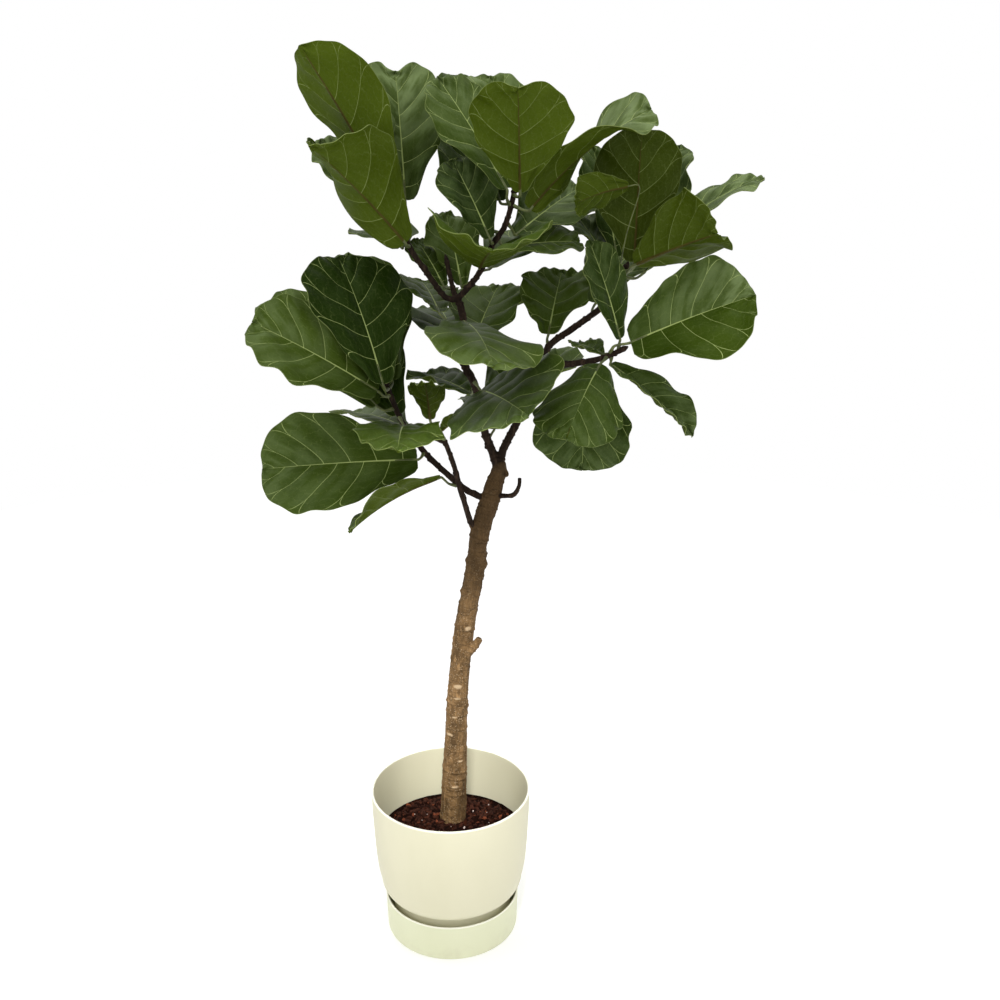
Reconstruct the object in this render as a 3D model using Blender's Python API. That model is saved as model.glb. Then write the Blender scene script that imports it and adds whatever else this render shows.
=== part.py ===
"""Potted fiddle leaf fig, a branching tree about 1.6 m tall in a round planter on a deep water tray.

Run it with:  blender --background --python part.py

Metres, +Z up.  The origin is on the floor at the centre of the tray's flat underside.  +X is to the
right of the tree as it is meant to be seen and -Y is towards the viewer.

Each leaf is one closed solid, a petiole and a blade grown together, and it stands a hair off the
wood that carries it.  The wood is one solid: the trunk with every branch joined into it.
"""

import math
import random
from collections import namedtuple

import bmesh
import bpy
from mathutils import Matrix, Vector

# ---------------------------------------------------------------- driving dimensions

GAP = 0.0003                    # clearance between pieces that touch

POT_HEIGHT = 0.291              # floor to rim, standing on the tray
POT_RIM_RADIUS = 0.1475
POT_WAIST = ((0.1335, 0.108), (0.1395, 0.140), (0.1435, 0.185), (0.1462, 0.240))
POT_WALL = 0.004
POT_NECK_RADIUS = 0.111         # the foot ring, sunk in the tray
POT_NECK_TOP = 0.084
POT_FLOOR = 0.094               # upper face of the pot's own floor
POT_CORNER = 0.012              # inner fillet between floor and wall
DRAIN_HOLES = 6
DRAIN_HOLE_RADIUS = 0.006
DRAIN_CIRCLE_RADIUS = 0.065
FOOT_NOTCH = (0.016, 0.010)     # width and height of the water passages under the foot ring

TRAY_HEIGHT = 0.0725
TRAY_RIM_RADIUS = 0.1262
TRAY_BASE_RADIUS = 0.1240
TRAY_WALL = 0.003
TRAY_FLOOR = 0.004
TRAY_CORNER = 0.004

SOIL_EDGE = 0.190               # height of the potting mix at the pot's wall
SOIL_MOUND = 0.024              # how much higher it lies at the trunk
SOIL_LUMP = 0.0022              # unevenness of its surface
SOIL_CLEARANCE = 0.0014         # between the mix and the pot's wall

TRUNK_FOOT = 0.125              # the buried end of the trunk
TURNED_SIDES = 56
TRUNK_SIDES = 12
BRANCH_SIDES = 8
SOIL_SIDES = 32
SOIL_STEPS = 5                  # rings between the trunk and the wall

BUD_LENGTH = 0.014
BUD_SHAPE = ((0.25, 1.15), (0.60, 0.75), (0.90, 0.28))     # share of its length, share of the radius

PETIOLE_RADIUS = 0.0025
PETIOLE_GROOVE = 0.55           # the groove along its top, as a share of the radius
PETIOLE_STATIONS = (0.0, 0.45, 0.85)
PETIOLE_SEAT = 0.0004           # how far a petiole's foot stands off the bark
BLADE_THICKNESS = 0.0010
MIDRIB_DEPTH = 0.0016           # how far the midrib stands out below the blade
BLADE_STATIONS = (0.03, 0.11, 0.23, 0.36, 0.50, 0.64, 0.77, 0.88, 0.96)
LOWER_OVAL = (0.19, 0.22, 0.55) # middle, half length and half width of the blade's small lower part
UPPER_OVAL = (0.64, 0.375, 1.0) # and of its broad upper part

# ---------------------------------------------------------------- the wood's route
# Each point is x, y, z and the radius there.

TRUNK = (
    (0.002, 0.020, TRUNK_FOOT, 0.0245),
    (0.002, 0.020, 0.165, 0.0250),
    (0.002, 0.020, 0.205, 0.0252),
    (0.004, 0.020, 0.240, 0.0246),
    (0.006, 0.018, 0.290, 0.0238),
    (0.008, 0.018, 0.335, 0.0228),
    (0.010, 0.015, 0.380, 0.0210),
    (0.014, 0.010, 0.465, 0.0198),
    (0.021, 0.000, 0.550, 0.0183),
    (0.031, -0.005, 0.632, 0.0183),
    (0.038, -0.008, 0.673, 0.0170),
    (0.042, -0.008, 0.693, 0.0176),
    (0.051, -0.010, 0.750, 0.0166),
    (0.058, -0.010, 0.805, 0.0173),
    (0.075, -0.008, 0.860, 0.0172),
    (0.085, -0.005, 0.895, 0.0150),
    (0.092, -0.003, 0.915, 0.0125),
    (0.093, -0.002, 0.925, 0.0090),
)

# name: (radius at the foot, radius at the tip, has a terminal bud, points)
BRANCHES = {
    "low_front": (0.0056, 0.0042, True, (
        (0.052, -0.011, 0.795), (0.043, -0.018, 0.818), (0.034, -0.030, 0.854), (0.025, -0.040, 0.891),
        (0.017, -0.050, 0.929), (0.004, -0.060, 0.972), (-0.009, -0.070, 1.003))),
    "low_twig": (0.0036, 0.0030, False, (
        (0.004, -0.060, 0.974), (-0.015, -0.072, 0.987), (-0.028, -0.080, 0.995))),
    "low_left": (0.0064, 0.0042, True, (
        (0.072, -0.008, 0.862), (0.056, -0.012, 0.867), (0.028, -0.020, 0.886), (0.003, -0.025, 0.911),
        (-0.025, -0.030, 0.940), (-0.046, -0.030, 0.967), (-0.069, -0.040, 1.005),
        (-0.082, -0.050, 1.042), (-0.092, -0.060, 1.077))),
    "middle": (0.0074, 0.0060, False, (
        (0.089, -0.003, 0.905), (0.078, 0.000, 0.946), (0.067, -0.010, 0.978), (0.057, -0.020, 1.037),
        (0.049, -0.030, 1.070), (0.031, -0.040, 1.106), (0.024, -0.040, 1.133), (0.033, -0.030, 1.175),
        (0.022, -0.030, 1.212))),
    "upper_left": (0.0052, 0.0042, True, (
        (0.024, -0.030, 1.205), (0.005, -0.040, 1.210), (-0.015, -0.050, 1.239), (-0.034, -0.060, 1.268),
        (-0.050, -0.068, 1.296), (-0.062, -0.055, 1.330), (-0.072, -0.042, 1.358))),
    "inner": (0.0046, 0.0040, True, (
        (0.022, -0.030, 1.203), (0.013, -0.018, 1.235), (0.007, -0.010, 1.262))),
    "top": (0.0054, 0.0044, True, (
        (0.023, -0.030, 1.205), (0.048, -0.040, 1.233), (0.064, -0.050, 1.258), (0.080, -0.060, 1.295),
        (0.098, -0.070, 1.321), (0.109, -0.078, 1.355), (0.113, -0.080, 1.374))),
    "right": (0.0074, 0.0048, True, (
        (0.092, -0.003, 0.910), (0.097, 0.000, 0.946), (0.116, 0.000, 0.984), (0.137, 0.000, 1.032),
        (0.158, 0.000, 1.089), (0.173, 0.000, 1.125), (0.203, 0.000, 1.147), (0.239, 0.000, 1.173),
        (0.262, 0.000, 1.192), (0.279, 0.000, 1.218), (0.294, 0.000, 1.250))),
    "low_right": (0.0062, 0.0048, True, (
        (0.158, 0.000, 1.090), (0.190, -0.036, 1.100), (0.228, -0.060, 1.110), (0.257, -0.078, 1.121),
        (0.283, -0.090, 1.136))),
    "broken_twig": (0.0045, 0.0036, False, (
        (0.080, -0.007, 0.866), (0.104, -0.025, 0.872), (0.116, -0.030, 0.877), (0.124, -0.030, 0.891),
        (0.125, -0.030, 0.906))),
    "pruned_stub": (0.0105, 0.0066, False, (
        (0.022, -0.002, 0.556), (0.040, -0.018, 0.580), (0.056, -0.030, 0.608))),
    "shoulder_stub": (0.0066, 0.0055, False, (
        (0.090, -0.003, 0.900), (0.105, -0.010, 0.908))),
}

# ---------------------------------------------------------------- the leaves
# branch and at: the branch, and how far along it the petiole stands, 0 foot to 1 tip
# base: where the blade begins
# heading: compass bearing of the blade, 0 to the right, 90 away from the viewer
# climb: slope of the straight line from its base to its tip
# roll: turn of the blade about that line, 0 with its upper face as level as it can be
# droop: how far the blade bends back over its length; twist: how far it winds
# fold and curl: slope of the two halves at the midrib, and what is added towards the margin

Leaf = namedtuple("Leaf", "name branch at base heading climb roll length width droop twist fold curl")

LEAVES = (
    Leaf("low_left_1", "low_left", 0.55, (-0.045, -0.05, 0.944), -174, -2, -55, 0.262, 0.175, 15, 0, 6, 10),
    Leaf("low_left_2", "low_left", 0.3, (-0.01, -0.035, 0.908), -143, -18, 37, 0.185, 0.11, 25, 0, 10, 10),
    Leaf("low_left_3", "low_left", 0.78, (-0.065, -0.060, 1.005), -88, 5, 0, 0.215, 0.135, 20, 0, 5, 15),
    Leaf("low_left_4", "low_left", 0.96, (-0.094, -0.085, 1.080), 123, 52, 0, 0.240, 0.180, 20, 0, 5, 10),
    Leaf("low_left_5", "low_left", 0.92, (-0.104, -0.08, 1.068), -173, 31, -45, 0.23, 0.155, 15, 0, 8, 10),
    Leaf("low_left_6", "low_left", 0.72, (-0.076, -0.030, 1.015), 135, 42, -15, 0.200, 0.140, 15, 0, 5, 10),
    Leaf("low_left_7", "low_left", 0.94, (-0.086, -0.015, 1.070), 122, 52, 0, 0.240, 0.150, 15, 0, 5, 10),
    Leaf("low_left_8", "low_left", 0.84, (-0.108, -0.064, 1.040), 160, 40, -30, 0.258, 0.130, 15, 0, 5, 10),
    Leaf("low_left_9", "low_left", 0.70, (-0.070, -0.025, 0.995), 123, -6, 0, 0.210, 0.120, 15, 0, 5, 10),
    Leaf("low_front_1", "low_front", 0.95, (-0.02, -0.085, 1.022), -92, 46, 0, 0.11, 0.06, 25, 0, 10, 10),
    Leaf("low_front_2", "low_front", 0.9, (-0.005, -0.082, 1.002), -30, 30, 0, 0.06, 0.04, 30, 0, 10, 60),
    Leaf("upper_left_1", "upper_left", 0.66, (-0.053, -0.085, 1.3), -148, 45, 44, 0.208, 0.175, 20, -75, 10, 70),
    Leaf("upper_left_2", "upper_left", 0.74, (-0.062, -0.035, 1.288), 112, 0, 0, 0.175, 0.11, 25, 0, 5, 10),
    Leaf("upper_left_3", "upper_left", 0.98, (-0.072, -0.08, 1.36), -160, 60, 50, 0.255, 0.14, 15, 0, 30, 5),
    Leaf("upper_left_4", "upper_left", 0.91, (-0.086, -0.018, 1.362), 144, 62, -10, 0.235, 0.135, 15, 0, 5, 10),
    Leaf("upper_left_5", "upper_left", 0.97, (-0.06, 0.028, 1.355), 104, 71, 0, 0.23, 0.15, 15, 0, 5, 10),
    Leaf("upper_left_6", "upper_left", 0.84, (-0.086, -0.02, 1.336), 152, 42, -20, 0.17, 0.095, 15, 0, 5, 10),
    Leaf("inner_1", "middle", 0.84, (-0.006, -0.028, 1.185), 104, 10, 10, 0.165, 0.100, 15, 0, 5, 10),
    Leaf("inner_2", "inner", 0.34, (0.002, -0.020, 1.225), 126, 40, 0, 0.105, 0.070, 15, 0, 5, 10),
    Leaf("inner_3", "top", 0.15, (0.030, -0.010, 1.225), 108, 50, 0, 0.140, 0.090, 15, 0, 5, 10),
    Leaf("middle_1", "middle", 0.85, (0.035, -0.055, 1.175), -78, -6, -10, 0.240, 0.172, 25, 0, -5, 10),
    Leaf("middle_2", "middle", 0.70, (0.045, -0.010, 1.120), 76, 23, 0, 0.205, 0.130, 15, 0, 5, 10),
    Leaf("middle_3", "middle", 0.50, (0.061, -0.045, 1.060), -72, 4, 32, 0.235, 0.200, 20, 0, 5, 10),
    Leaf("middle_4", "middle", 0.40, (0.072, 0.000, 1.032), 59, 16, 0, 0.195, 0.120, 15, 0, 5, 10),
    Leaf("middle_5", "middle", 0.45, (0.045, 0.000, 1.044), 126, 2, 0, 0.160, 0.110, 15, 0, 5, 10),
    Leaf("right_1", "right", 0.50, (0.172, 0.018, 1.140), 78, 33, 0, 0.165, 0.130, 15, 0, 5, 10),
    Leaf("right_2", "right", 0.99, (0.306, -0.015, 1.263), -89, 79, 0, 0.212, 0.140, 15, 0, 5, 10),
    Leaf("right_3", "right", 0.94, (0.288, -0.062, 1.384), -165, -16, 60, 0.094, 0.076, 30, 0, 5, 10),
    Leaf("right_4", "right", 0.93, (0.304, -0.045, 1.262), -42, 22, -57, 0.160, 0.155, 15, 0, 35, 10),
    Leaf("right_5", "right", 0.98, (0.318, 0.036, 1.260), 43, 61, 0, 0.200, 0.115, 15, 0, 5, 10),
    Leaf("right_6", "right", 0.96, (0.325, -0.008, 1.248), -3, 39, 15, 0.238, 0.090, 50, 0, 5, 10),
    Leaf("right_7", "right", 0.97, (0.284, 0.044, 1.264), 120, 65, 0, 0.190, 0.095, 15, 0, 5, 10),
    Leaf("right_8", "right", 0.90, (0.272, 0.024, 1.250), 145, 49, 0, 0.115, 0.085, 15, 0, 5, 10),
    Leaf("top_1", "top", 0.40, (0.060, -0.065, 1.260), -84, 14, -6, 0.220, 0.200, 15, 0, 15, 28),
    Leaf("top_2", "top", 0.55, (0.100, -0.045, 1.290), 15, 2, 25, 0.130, 0.090, 15, 0, 5, 10),
    Leaf("top_3", "top", 0.86, (0.102, -0.090, 1.382), 140, 49, -25, 0.210, 0.110, 15, 0, 5, 10),
    Leaf("top_4", "top", 0.97, (0.112, -0.045, 1.380), 108, 54, 0, 0.212, 0.125, 15, 0, 5, 10),
    Leaf("top_5", "top", 0.85, (0.092, -0.040, 1.360), 122, 53, 0, 0.240, 0.120, 15, 0, 5, 10),
    Leaf("top_6", "top", 0.60, (0.068, -0.044, 1.322), 110, 47, 0, 0.190, 0.100, 15, 0, 5, 10),
    Leaf("top_7", "top", 0.98, (0.122, -0.108, 1.377), -97, 76, 0, 0.168, 0.150, 15, 0, 5, 10),
    Leaf("top_8", "top", 0.84, (0.138, -0.075, 1.350), 7, 38, -18, 0.245, 0.145, 30, 120, 5, 10),
    Leaf("top_9", "top", 0.70, (0.118, -0.046, 1.310), 39, 26, 25, 0.154, 0.128, 15, 0, 5, 10),
    Leaf("top_10", "top", 0.52, (0.076, -0.085, 1.308), 150, 60, -30, 0.135, 0.095, 15, 0, 5, 10),
    Leaf("low_right_1", "low_right", 0.97, (0.281, -0.08, 1.152), 172, 71, -40, 0.158, 0.085, 15, 0, 10, 10),
    Leaf("low_right_2", "low_right", 0.86, (0.296, -0.100, 1.150), -9, 23, 52, 0.200, 0.175, 15, 0, 5, 10),
    Leaf("low_right_3", "low_right", 0.78, (0.25, -0.095, 1.115), -115, -32, -15, 0.175, 0.15, 40, 0, -15, -20),
    Leaf("low_right_4", "low_right", 0.54, (0.234, -0.05, 1.095), -106, -80, 0, 0.165, 0.165, 20, 0, 5, 10),
    Leaf("low_right_5", "low_right", 0.82, (0.268, -0.08, 1.11), -17, -38, 20, 0.17, 0.08, 20, 0, 30, 10),
    Leaf("low_right_6", "low_right", 0.80, (0.255, -0.050, 1.122), 122, 5, 0, 0.070, 0.060, 15, 0, 5, 20),
    Leaf("back_1", "middle", 0.20, (0.082, 0.026, 0.975), 86, 2, 0, 0.200, 0.150, 25, 0, 5, 10),
    Leaf("back_2", "right", 0.35, (0.138, 0.032, 1.030), 80, 10, 0, 0.220, 0.155, 25, 0, 5, 10),
    Leaf("back_3", "right", 0.72, (0.250, 0.030, 1.190), 55, 28, 0, 0.220, 0.150, 25, 0, 5, 10),
    Leaf("back_4", "top", 0.30, (0.076, -0.008, 1.252), 60, 8, 0, 0.220, 0.150, 25, 0, 5, 10),
    Leaf("back_5", "middle", 0.60, (0.020, 0.000, 1.120), 100, 8, 0, 0.220, 0.150, 25, 0, 5, 10),
)

# ---------------------------------------------------------------- finishes

CREAM = (0.835, 0.800, 0.600)
SOIL_BROWN = (0.045, 0.020, 0.014)
BARK = (0.150, 0.095, 0.055)
LEAF_GREEN = (0.035, 0.085, 0.012)
LEAF_SHADES = 0.35              # how far a leaf's green may be from the middle one, as a share


def finish(name, colour, roughness):
    material = bpy.data.materials.new(name)
    material.use_nodes = True
    shader = material.node_tree.nodes["Principled BSDF"]
    shader.inputs["Base Color"].default_value = (*colour, 1.0)
    shader.inputs["Roughness"].default_value = roughness
    shader.inputs["Metallic"].default_value = 0.0
    material.diffuse_color = (*colour, 1.0)
    return material


def clear_scene():
    for thing in list(bpy.data.objects):
        bpy.data.objects.remove(thing, do_unlink=True)


def add_object(name, mesh, material=None, parent=None):
    thing = bpy.data.objects.new(name, mesh)
    bpy.context.scene.collection.objects.link(thing)
    if material:
        mesh.materials.append(material)
    if parent:
        thing.parent = parent
    return thing


def hide_guide(thing):
    thing.hide_render = True
    thing.display_type = "WIRE"


def mesh_from(shape, name, crease_angle=math.radians(40)):
    """Turn a bmesh into a mesh with its faces pointing out, shaded smooth but for its sharp edges."""
    bmesh.ops.recalc_face_normals(shape, faces=shape.faces)
    if shape.calc_volume(signed=True) < 0:
        bmesh.ops.reverse_faces(shape, faces=shape.faces)
    mesh = bpy.data.meshes.new(name)
    shape.to_mesh(mesh)
    shape.free()
    mesh.shade_smooth()
    mesh.set_sharp_from_angle(angle=crease_angle)
    return mesh


def arc(centre, radius, start, end, steps):
    """Points of an arc in the profile plane, angles in degrees."""
    points = []
    for i in range(steps + 1):
        angle = math.radians(start + (end - start) * i / steps)
        points.append((centre[0] + radius * math.cos(angle), centre[1] + radius * math.sin(angle)))
    return points


def turned(name, profile):
    """Spin a closed profile of (radius, height) points once round the Z axis.

    The profile begins and ends on the axis, so the solid closes at two poles.
    """
    shape = bmesh.new()
    points = [shape.verts.new((radius, 0.0, height)) for radius, height in profile]
    edges = [shape.edges.new(pair) for pair in zip(points, points[1:])]
    bmesh.ops.spin(shape, geom=points + edges, axis=(0, 0, 1), cent=(0, 0, 0),
                   angle=math.tau, steps=TURNED_SIDES, use_merge=True)
    bmesh.ops.remove_doubles(shape, verts=shape.verts, dist=1e-6)
    return mesh_from(shape, name)


def subtract(thing, cutter):
    hide_guide(cutter)
    cut = thing.modifiers.new(cutter.name, "BOOLEAN")
    cut.operation = "DIFFERENCE"
    cut.object = cutter
    cut.solver = "EXACT"


# ---------------------------------------------------------------- pot and tray

def make_tray():
    outer_foot = arc((TRAY_BASE_RADIUS - TRAY_CORNER, TRAY_CORNER), TRAY_CORNER, -90, 0, 3)
    lip = arc((TRAY_RIM_RADIUS - TRAY_WALL / 2, TRAY_HEIGHT - TRAY_WALL / 2), TRAY_WALL / 2, 0, 180, 4)
    inner_radius = TRAY_BASE_RADIUS - TRAY_WALL
    inner_foot = arc((inner_radius - TRAY_CORNER, TRAY_FLOOR + TRAY_CORNER), TRAY_CORNER, 0, -90, 2)
    profile = [(0.0, 0.0)] + outer_foot + lip + inner_foot + [(0.0, TRAY_FLOOR)]
    return add_object("water_tray", turned("water_tray", profile), finish("tray_cream", CREAM, 0.45))


def pot_profile():
    """The pot's section, from the middle of its underside round the outside to the middle of its floor."""
    foot = TRAY_FLOOR + GAP
    neck_wall = POT_NECK_RADIUS - POT_WALL
    underside = POT_FLOOR - POT_WALL
    waist_radius, waist_height = POT_WAIST[0]
    turn = waist_height - POT_NECK_TOP
    shoulder = [(POT_NECK_RADIUS + (waist_radius - POT_NECK_RADIUS) * math.sin(math.radians(angle)),
                 waist_height - turn * math.cos(math.radians(angle))) for angle in (20, 40, 60, 75)]
    lip_centre = (POT_RIM_RADIUS - POT_WALL / 2, POT_HEIGHT - POT_WALL / 2)
    lip = arc(lip_centre, POT_WALL / 2, 0, 180, 4)
    inside_wall = [(radius - POT_WALL, height) for radius, height in reversed(POT_WAIST[1:])]
    floor_corner = (waist_radius - POT_WALL - POT_CORNER, POT_FLOOR + POT_CORNER)
    corner = arc(floor_corner, POT_CORNER, 0, -90, 3)
    return ([(0.0, underside), (neck_wall - 0.004, underside), (neck_wall, underside - 0.004),
             (neck_wall, foot), (POT_NECK_RADIUS, foot), (POT_NECK_RADIUS, POT_NECK_TOP)]
            + shoulder + list(POT_WAIST) + lip + inside_wall + corner + [(0.0, POT_FLOOR)])


def make_pot():
    pot = add_object("pot", turned("pot", pot_profile()), finish("pot_cream", CREAM, 0.45))
    cutters = bmesh.new()
    for i in range(DRAIN_HOLES):
        angle = math.tau * (i + 0.5) / DRAIN_HOLES
        place = Matrix.Translation((DRAIN_CIRCLE_RADIUS * math.cos(angle),
                                    DRAIN_CIRCLE_RADIUS * math.sin(angle), POT_FLOOR))
        bmesh.ops.create_cone(cutters, cap_ends=True, segments=12, radius1=DRAIN_HOLE_RADIUS,
                              radius2=DRAIN_HOLE_RADIUS, depth=4 * POT_WALL, matrix=place)
    notch_width, notch_height = FOOT_NOTCH
    for i in range(4):
        turn = Matrix.Rotation(math.tau * (i + 0.5) / 4, 4, "Z")
        size = Matrix.Diagonal((6 * POT_WALL, notch_width, 2 * notch_height, 1.0))
        place = turn @ Matrix.Translation((POT_NECK_RADIUS - POT_WALL / 2, 0.0, TRAY_FLOOR)) @ size
        bmesh.ops.create_cube(cutters, size=1.0, matrix=place)
    subtract(pot, add_object("pot_openings", mesh_from(cutters, "pot_openings")))
    return pot


# ---------------------------------------------------------------- potting mix

def make_soil():
    """Rings from the hole that the trunk stands in out to the pot's wall, then down and under."""
    rng = random.Random(7)
    foot_x, foot_y = TRUNK[0][0], TRUNK[0][1]
    hole_radius = TRUNK[2][3] + 3 * GAP
    wall_radius = POT_WAIST[2][0] - POT_WALL - SOIL_CLEARANCE
    bottom = POT_FLOOR + 2 * GAP
    shape = bmesh.new()

    def ring(share, radius, height, lump=0.0):
        """share 0 is centred on the trunk and share 1 on the pot."""
        centre_x = foot_x * (1 - share)
        centre_y = foot_y * (1 - share)
        verts = []
        for i in range(SOIL_SIDES):
            angle = math.tau * i / SOIL_SIDES
            verts.append(shape.verts.new((centre_x + radius * math.cos(angle),
                                          centre_y + radius * math.sin(angle),
                                          height + rng.uniform(-lump, lump))))
        return verts

    hole_floor = TRUNK_FOOT - GAP
    rings = [ring(0.0, hole_radius, hole_floor), ring(0.0, hole_radius, SOIL_EDGE + SOIL_MOUND)]
    for i in range(1, SOIL_STEPS + 1):
        share = i / SOIL_STEPS
        radius = hole_radius + (wall_radius - hole_radius) * share
        height = SOIL_EDGE + SOIL_MOUND * (1 + math.cos(math.pi * share)) / 2
        rings.append(ring(share, radius, height, SOIL_LUMP if i < SOIL_STEPS else 0.0))
    for radius, height in (POT_WAIST[2], POT_WAIST[1]):
        rings.append(ring(1.0, radius - POT_WALL - SOIL_CLEARANCE, height))
    corner_radius = POT_WAIST[0][0] - POT_WALL - SOIL_CLEARANCE
    rings.append(ring(1.0, corner_radius, POT_FLOOR + POT_CORNER))
    rings.append(ring(1.0, corner_radius - 0.5 * POT_CORNER, POT_FLOOR + 0.4 * POT_CORNER))
    rings.append(ring(1.0, corner_radius - POT_CORNER, bottom))
    for inner, outer in zip(rings, rings[1:]):
        for i in range(SOIL_SIDES):
            j = (i + 1) % SOIL_SIDES
            shape.faces.new((inner[i], inner[j], outer[j], outer[i]))
    shape.faces.new(rings[0])
    shape.faces.new(rings[-1])
    return add_object("potting_mix", mesh_from(shape, "potting_mix"), finish("mix_brown", SOIL_BROWN, 0.95))


# ---------------------------------------------------------------- wood

def smooth_route(points, per_span):
    """A Catmull-Rom curve through points of any number of values, per_span steps from each to the next."""
    route = []
    for i in range(len(points) - 1):
        before = points[max(i - 1, 0)]
        start = points[i]
        end = points[i + 1]
        after = points[min(i + 2, len(points) - 1)]
        for step in range(per_span):
            t = step / per_span
            route.append(tuple(
                0.5 * (2 * b + (c - a) * t + (2 * a - 5 * b + 4 * c - d) * t * t
                       + (3 * b - a - 3 * c + d) * t ** 3)
                for a, b, c, d in zip(before, start, end, after)))
    route.append(tuple(points[-1]))
    return route


def tube(name, route, sides, has_bud=False):
    """A closed tube along route, whose points are x, y, z and radius, with a pointed bud if asked."""
    centres = [Vector(point[:3]) for point in route]
    radii = [point[3] for point in route]
    tangents = []
    for i in range(len(centres)):
        tangents.append((centres[min(i + 1, len(centres) - 1)] - centres[max(i - 1, 0)]).normalized())
    if has_bud:
        end, direction, radius = centres[-1], tangents[-1], radii[-1]
        for share, width in BUD_SHAPE:
            centres.append(end + direction * BUD_LENGTH * share)
            radii.append(radius * width)
            tangents.append(direction)
    shape = bmesh.new()
    side = tangents[0].orthogonal().normalized()
    rings = []
    for centre, radius, tangent in zip(centres, radii, tangents):
        side = (side - tangent * side.dot(tangent)).normalized()
        other = tangent.cross(side)
        ring = []
        for i in range(sides):
            angle = math.tau * i / sides
            ring.append(shape.verts.new(centre + radius * (math.cos(angle) * side + math.sin(angle) * other)))
        rings.append(ring)
    for near, far in zip(rings, rings[1:]):
        for i in range(sides):
            j = (i + 1) % sides
            shape.faces.new((near[i], near[j], far[j], far[i]))
    shape.faces.new(rings[0])
    shape.faces.new(rings[-1])
    return mesh_from(shape, name)


def branch_route(name):
    foot_radius, tip_radius, _, points = BRANCHES[name]
    count = len(points) - 1
    with_radius = [(*point, foot_radius + (tip_radius - foot_radius) * i / count)
                   for i, point in enumerate(points)]
    return smooth_route(with_radius, 2)


def make_wood():
    wood = add_object("trunk_and_branches", tube("trunk_and_branches", smooth_route(TRUNK, 2), TRUNK_SIDES),
                      finish("bark_brown", BARK, 0.85))
    for name, (_, _, has_bud, _) in BRANCHES.items():
        limb = add_object(name, tube(name, branch_route(name), BRANCH_SIDES, has_bud))
        hide_guide(limb)
        join = wood.modifiers.new(name, "BOOLEAN")
        join.operation = "UNION"
        join.object = limb
        join.solver = "EXACT"
    return wood


def stand_on(branch, at):
    """Centre, direction and radius of a branch at a share of its length."""
    route = branch_route(branch)
    place = at * (len(route) - 1)
    i = min(int(place), len(route) - 2)
    share = place - i
    centre = Vector(route[i][:3]).lerp(Vector(route[i + 1][:3]), share)
    radius = max(route[i][3], route[i + 1][3])
    return centre, (Vector(route[i + 1][:3]) - Vector(route[i][:3])).normalized(), radius


# ---------------------------------------------------------------- leaves

def oval(s, middle, half_length, half_width):
    return half_width * math.sqrt(max(0.0, 1 - ((s - middle) / half_length) ** 2))


def outline(s):
    """Half width of a blade, 0 to 1, at the share s of its length: a small oval and a broad one."""
    return (oval(s, *LOWER_OVAL) ** 4 + oval(s, *UPPER_OVAL) ** 4) ** 0.25


class Blade:
    """The surface of one leaf's blade: at(s, u) with s along the midrib and u across, -1 to 1."""

    def __init__(self, leaf):
        self.leaf = leaf
        heading, climb = math.radians(leaf.heading), math.radians(leaf.climb)
        self.chord = Vector((math.cos(heading) * math.cos(climb), math.sin(heading) * math.cos(climb),
                             math.sin(climb)))
        level = Vector((-math.cos(heading) * math.sin(climb), -math.sin(heading) * math.sin(climb),
                        math.cos(climb)))
        self.up = Matrix.Rotation(math.radians(leaf.roll), 3, self.chord) @ level
        rng = random.Random(leaf.name)
        self.wave = [(rng.uniform(0.02, 0.045), rng.uniform(1.4, 2.2), rng.uniform(0, math.tau))
                     for _ in range(2)]

    def frame(self, s):
        """Point on the midrib with the directions along, across and up there."""
        leaf = self.leaf
        bend = math.radians(leaf.droop) or 1e-6
        radius = leaf.length / bend
        angle = bend / 2 - bend * s
        point = (Vector(leaf.base) + self.chord * radius * (math.sin(bend / 2) - math.sin(angle))
                 + self.up * radius * (math.cos(angle) - math.cos(bend / 2)))
        along = self.chord * math.cos(angle) + self.up * math.sin(angle)
        up = self.up * math.cos(angle) - self.chord * math.sin(angle)
        up = Matrix.Rotation(math.radians(leaf.twist) * (s - 0.5), 3, along) @ up
        return point, along, along.cross(up), up

    def at(self, s, u):
        leaf = self.leaf
        point, _, across, up = self.frame(s)
        half = leaf.width / 2
        reach = abs(u) * outline(s) * half
        slope = math.radians(leaf.fold)
        bend = math.radians(leaf.curl) / half or 1e-6
        out = (math.sin(slope + bend * reach) - math.sin(slope)) / bend
        rise = (math.cos(slope) - math.cos(slope + bend * reach)) / bend
        size, count, phase = self.wave[u > 0]
        rise += size * leaf.width * (reach / half) ** 2 * math.sin(math.tau * count * s + phase)
        return point + across * math.copysign(out, u) + up * rise

    def normal(self, s, u):
        step = 0.01
        along = self.at(min(s + step, 1.0), u) - self.at(s - step, u)
        across = self.at(s, min(u + step, 1.0)) - self.at(s, max(u - step, -1.0))
        return across.cross(along).normalized()


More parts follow.
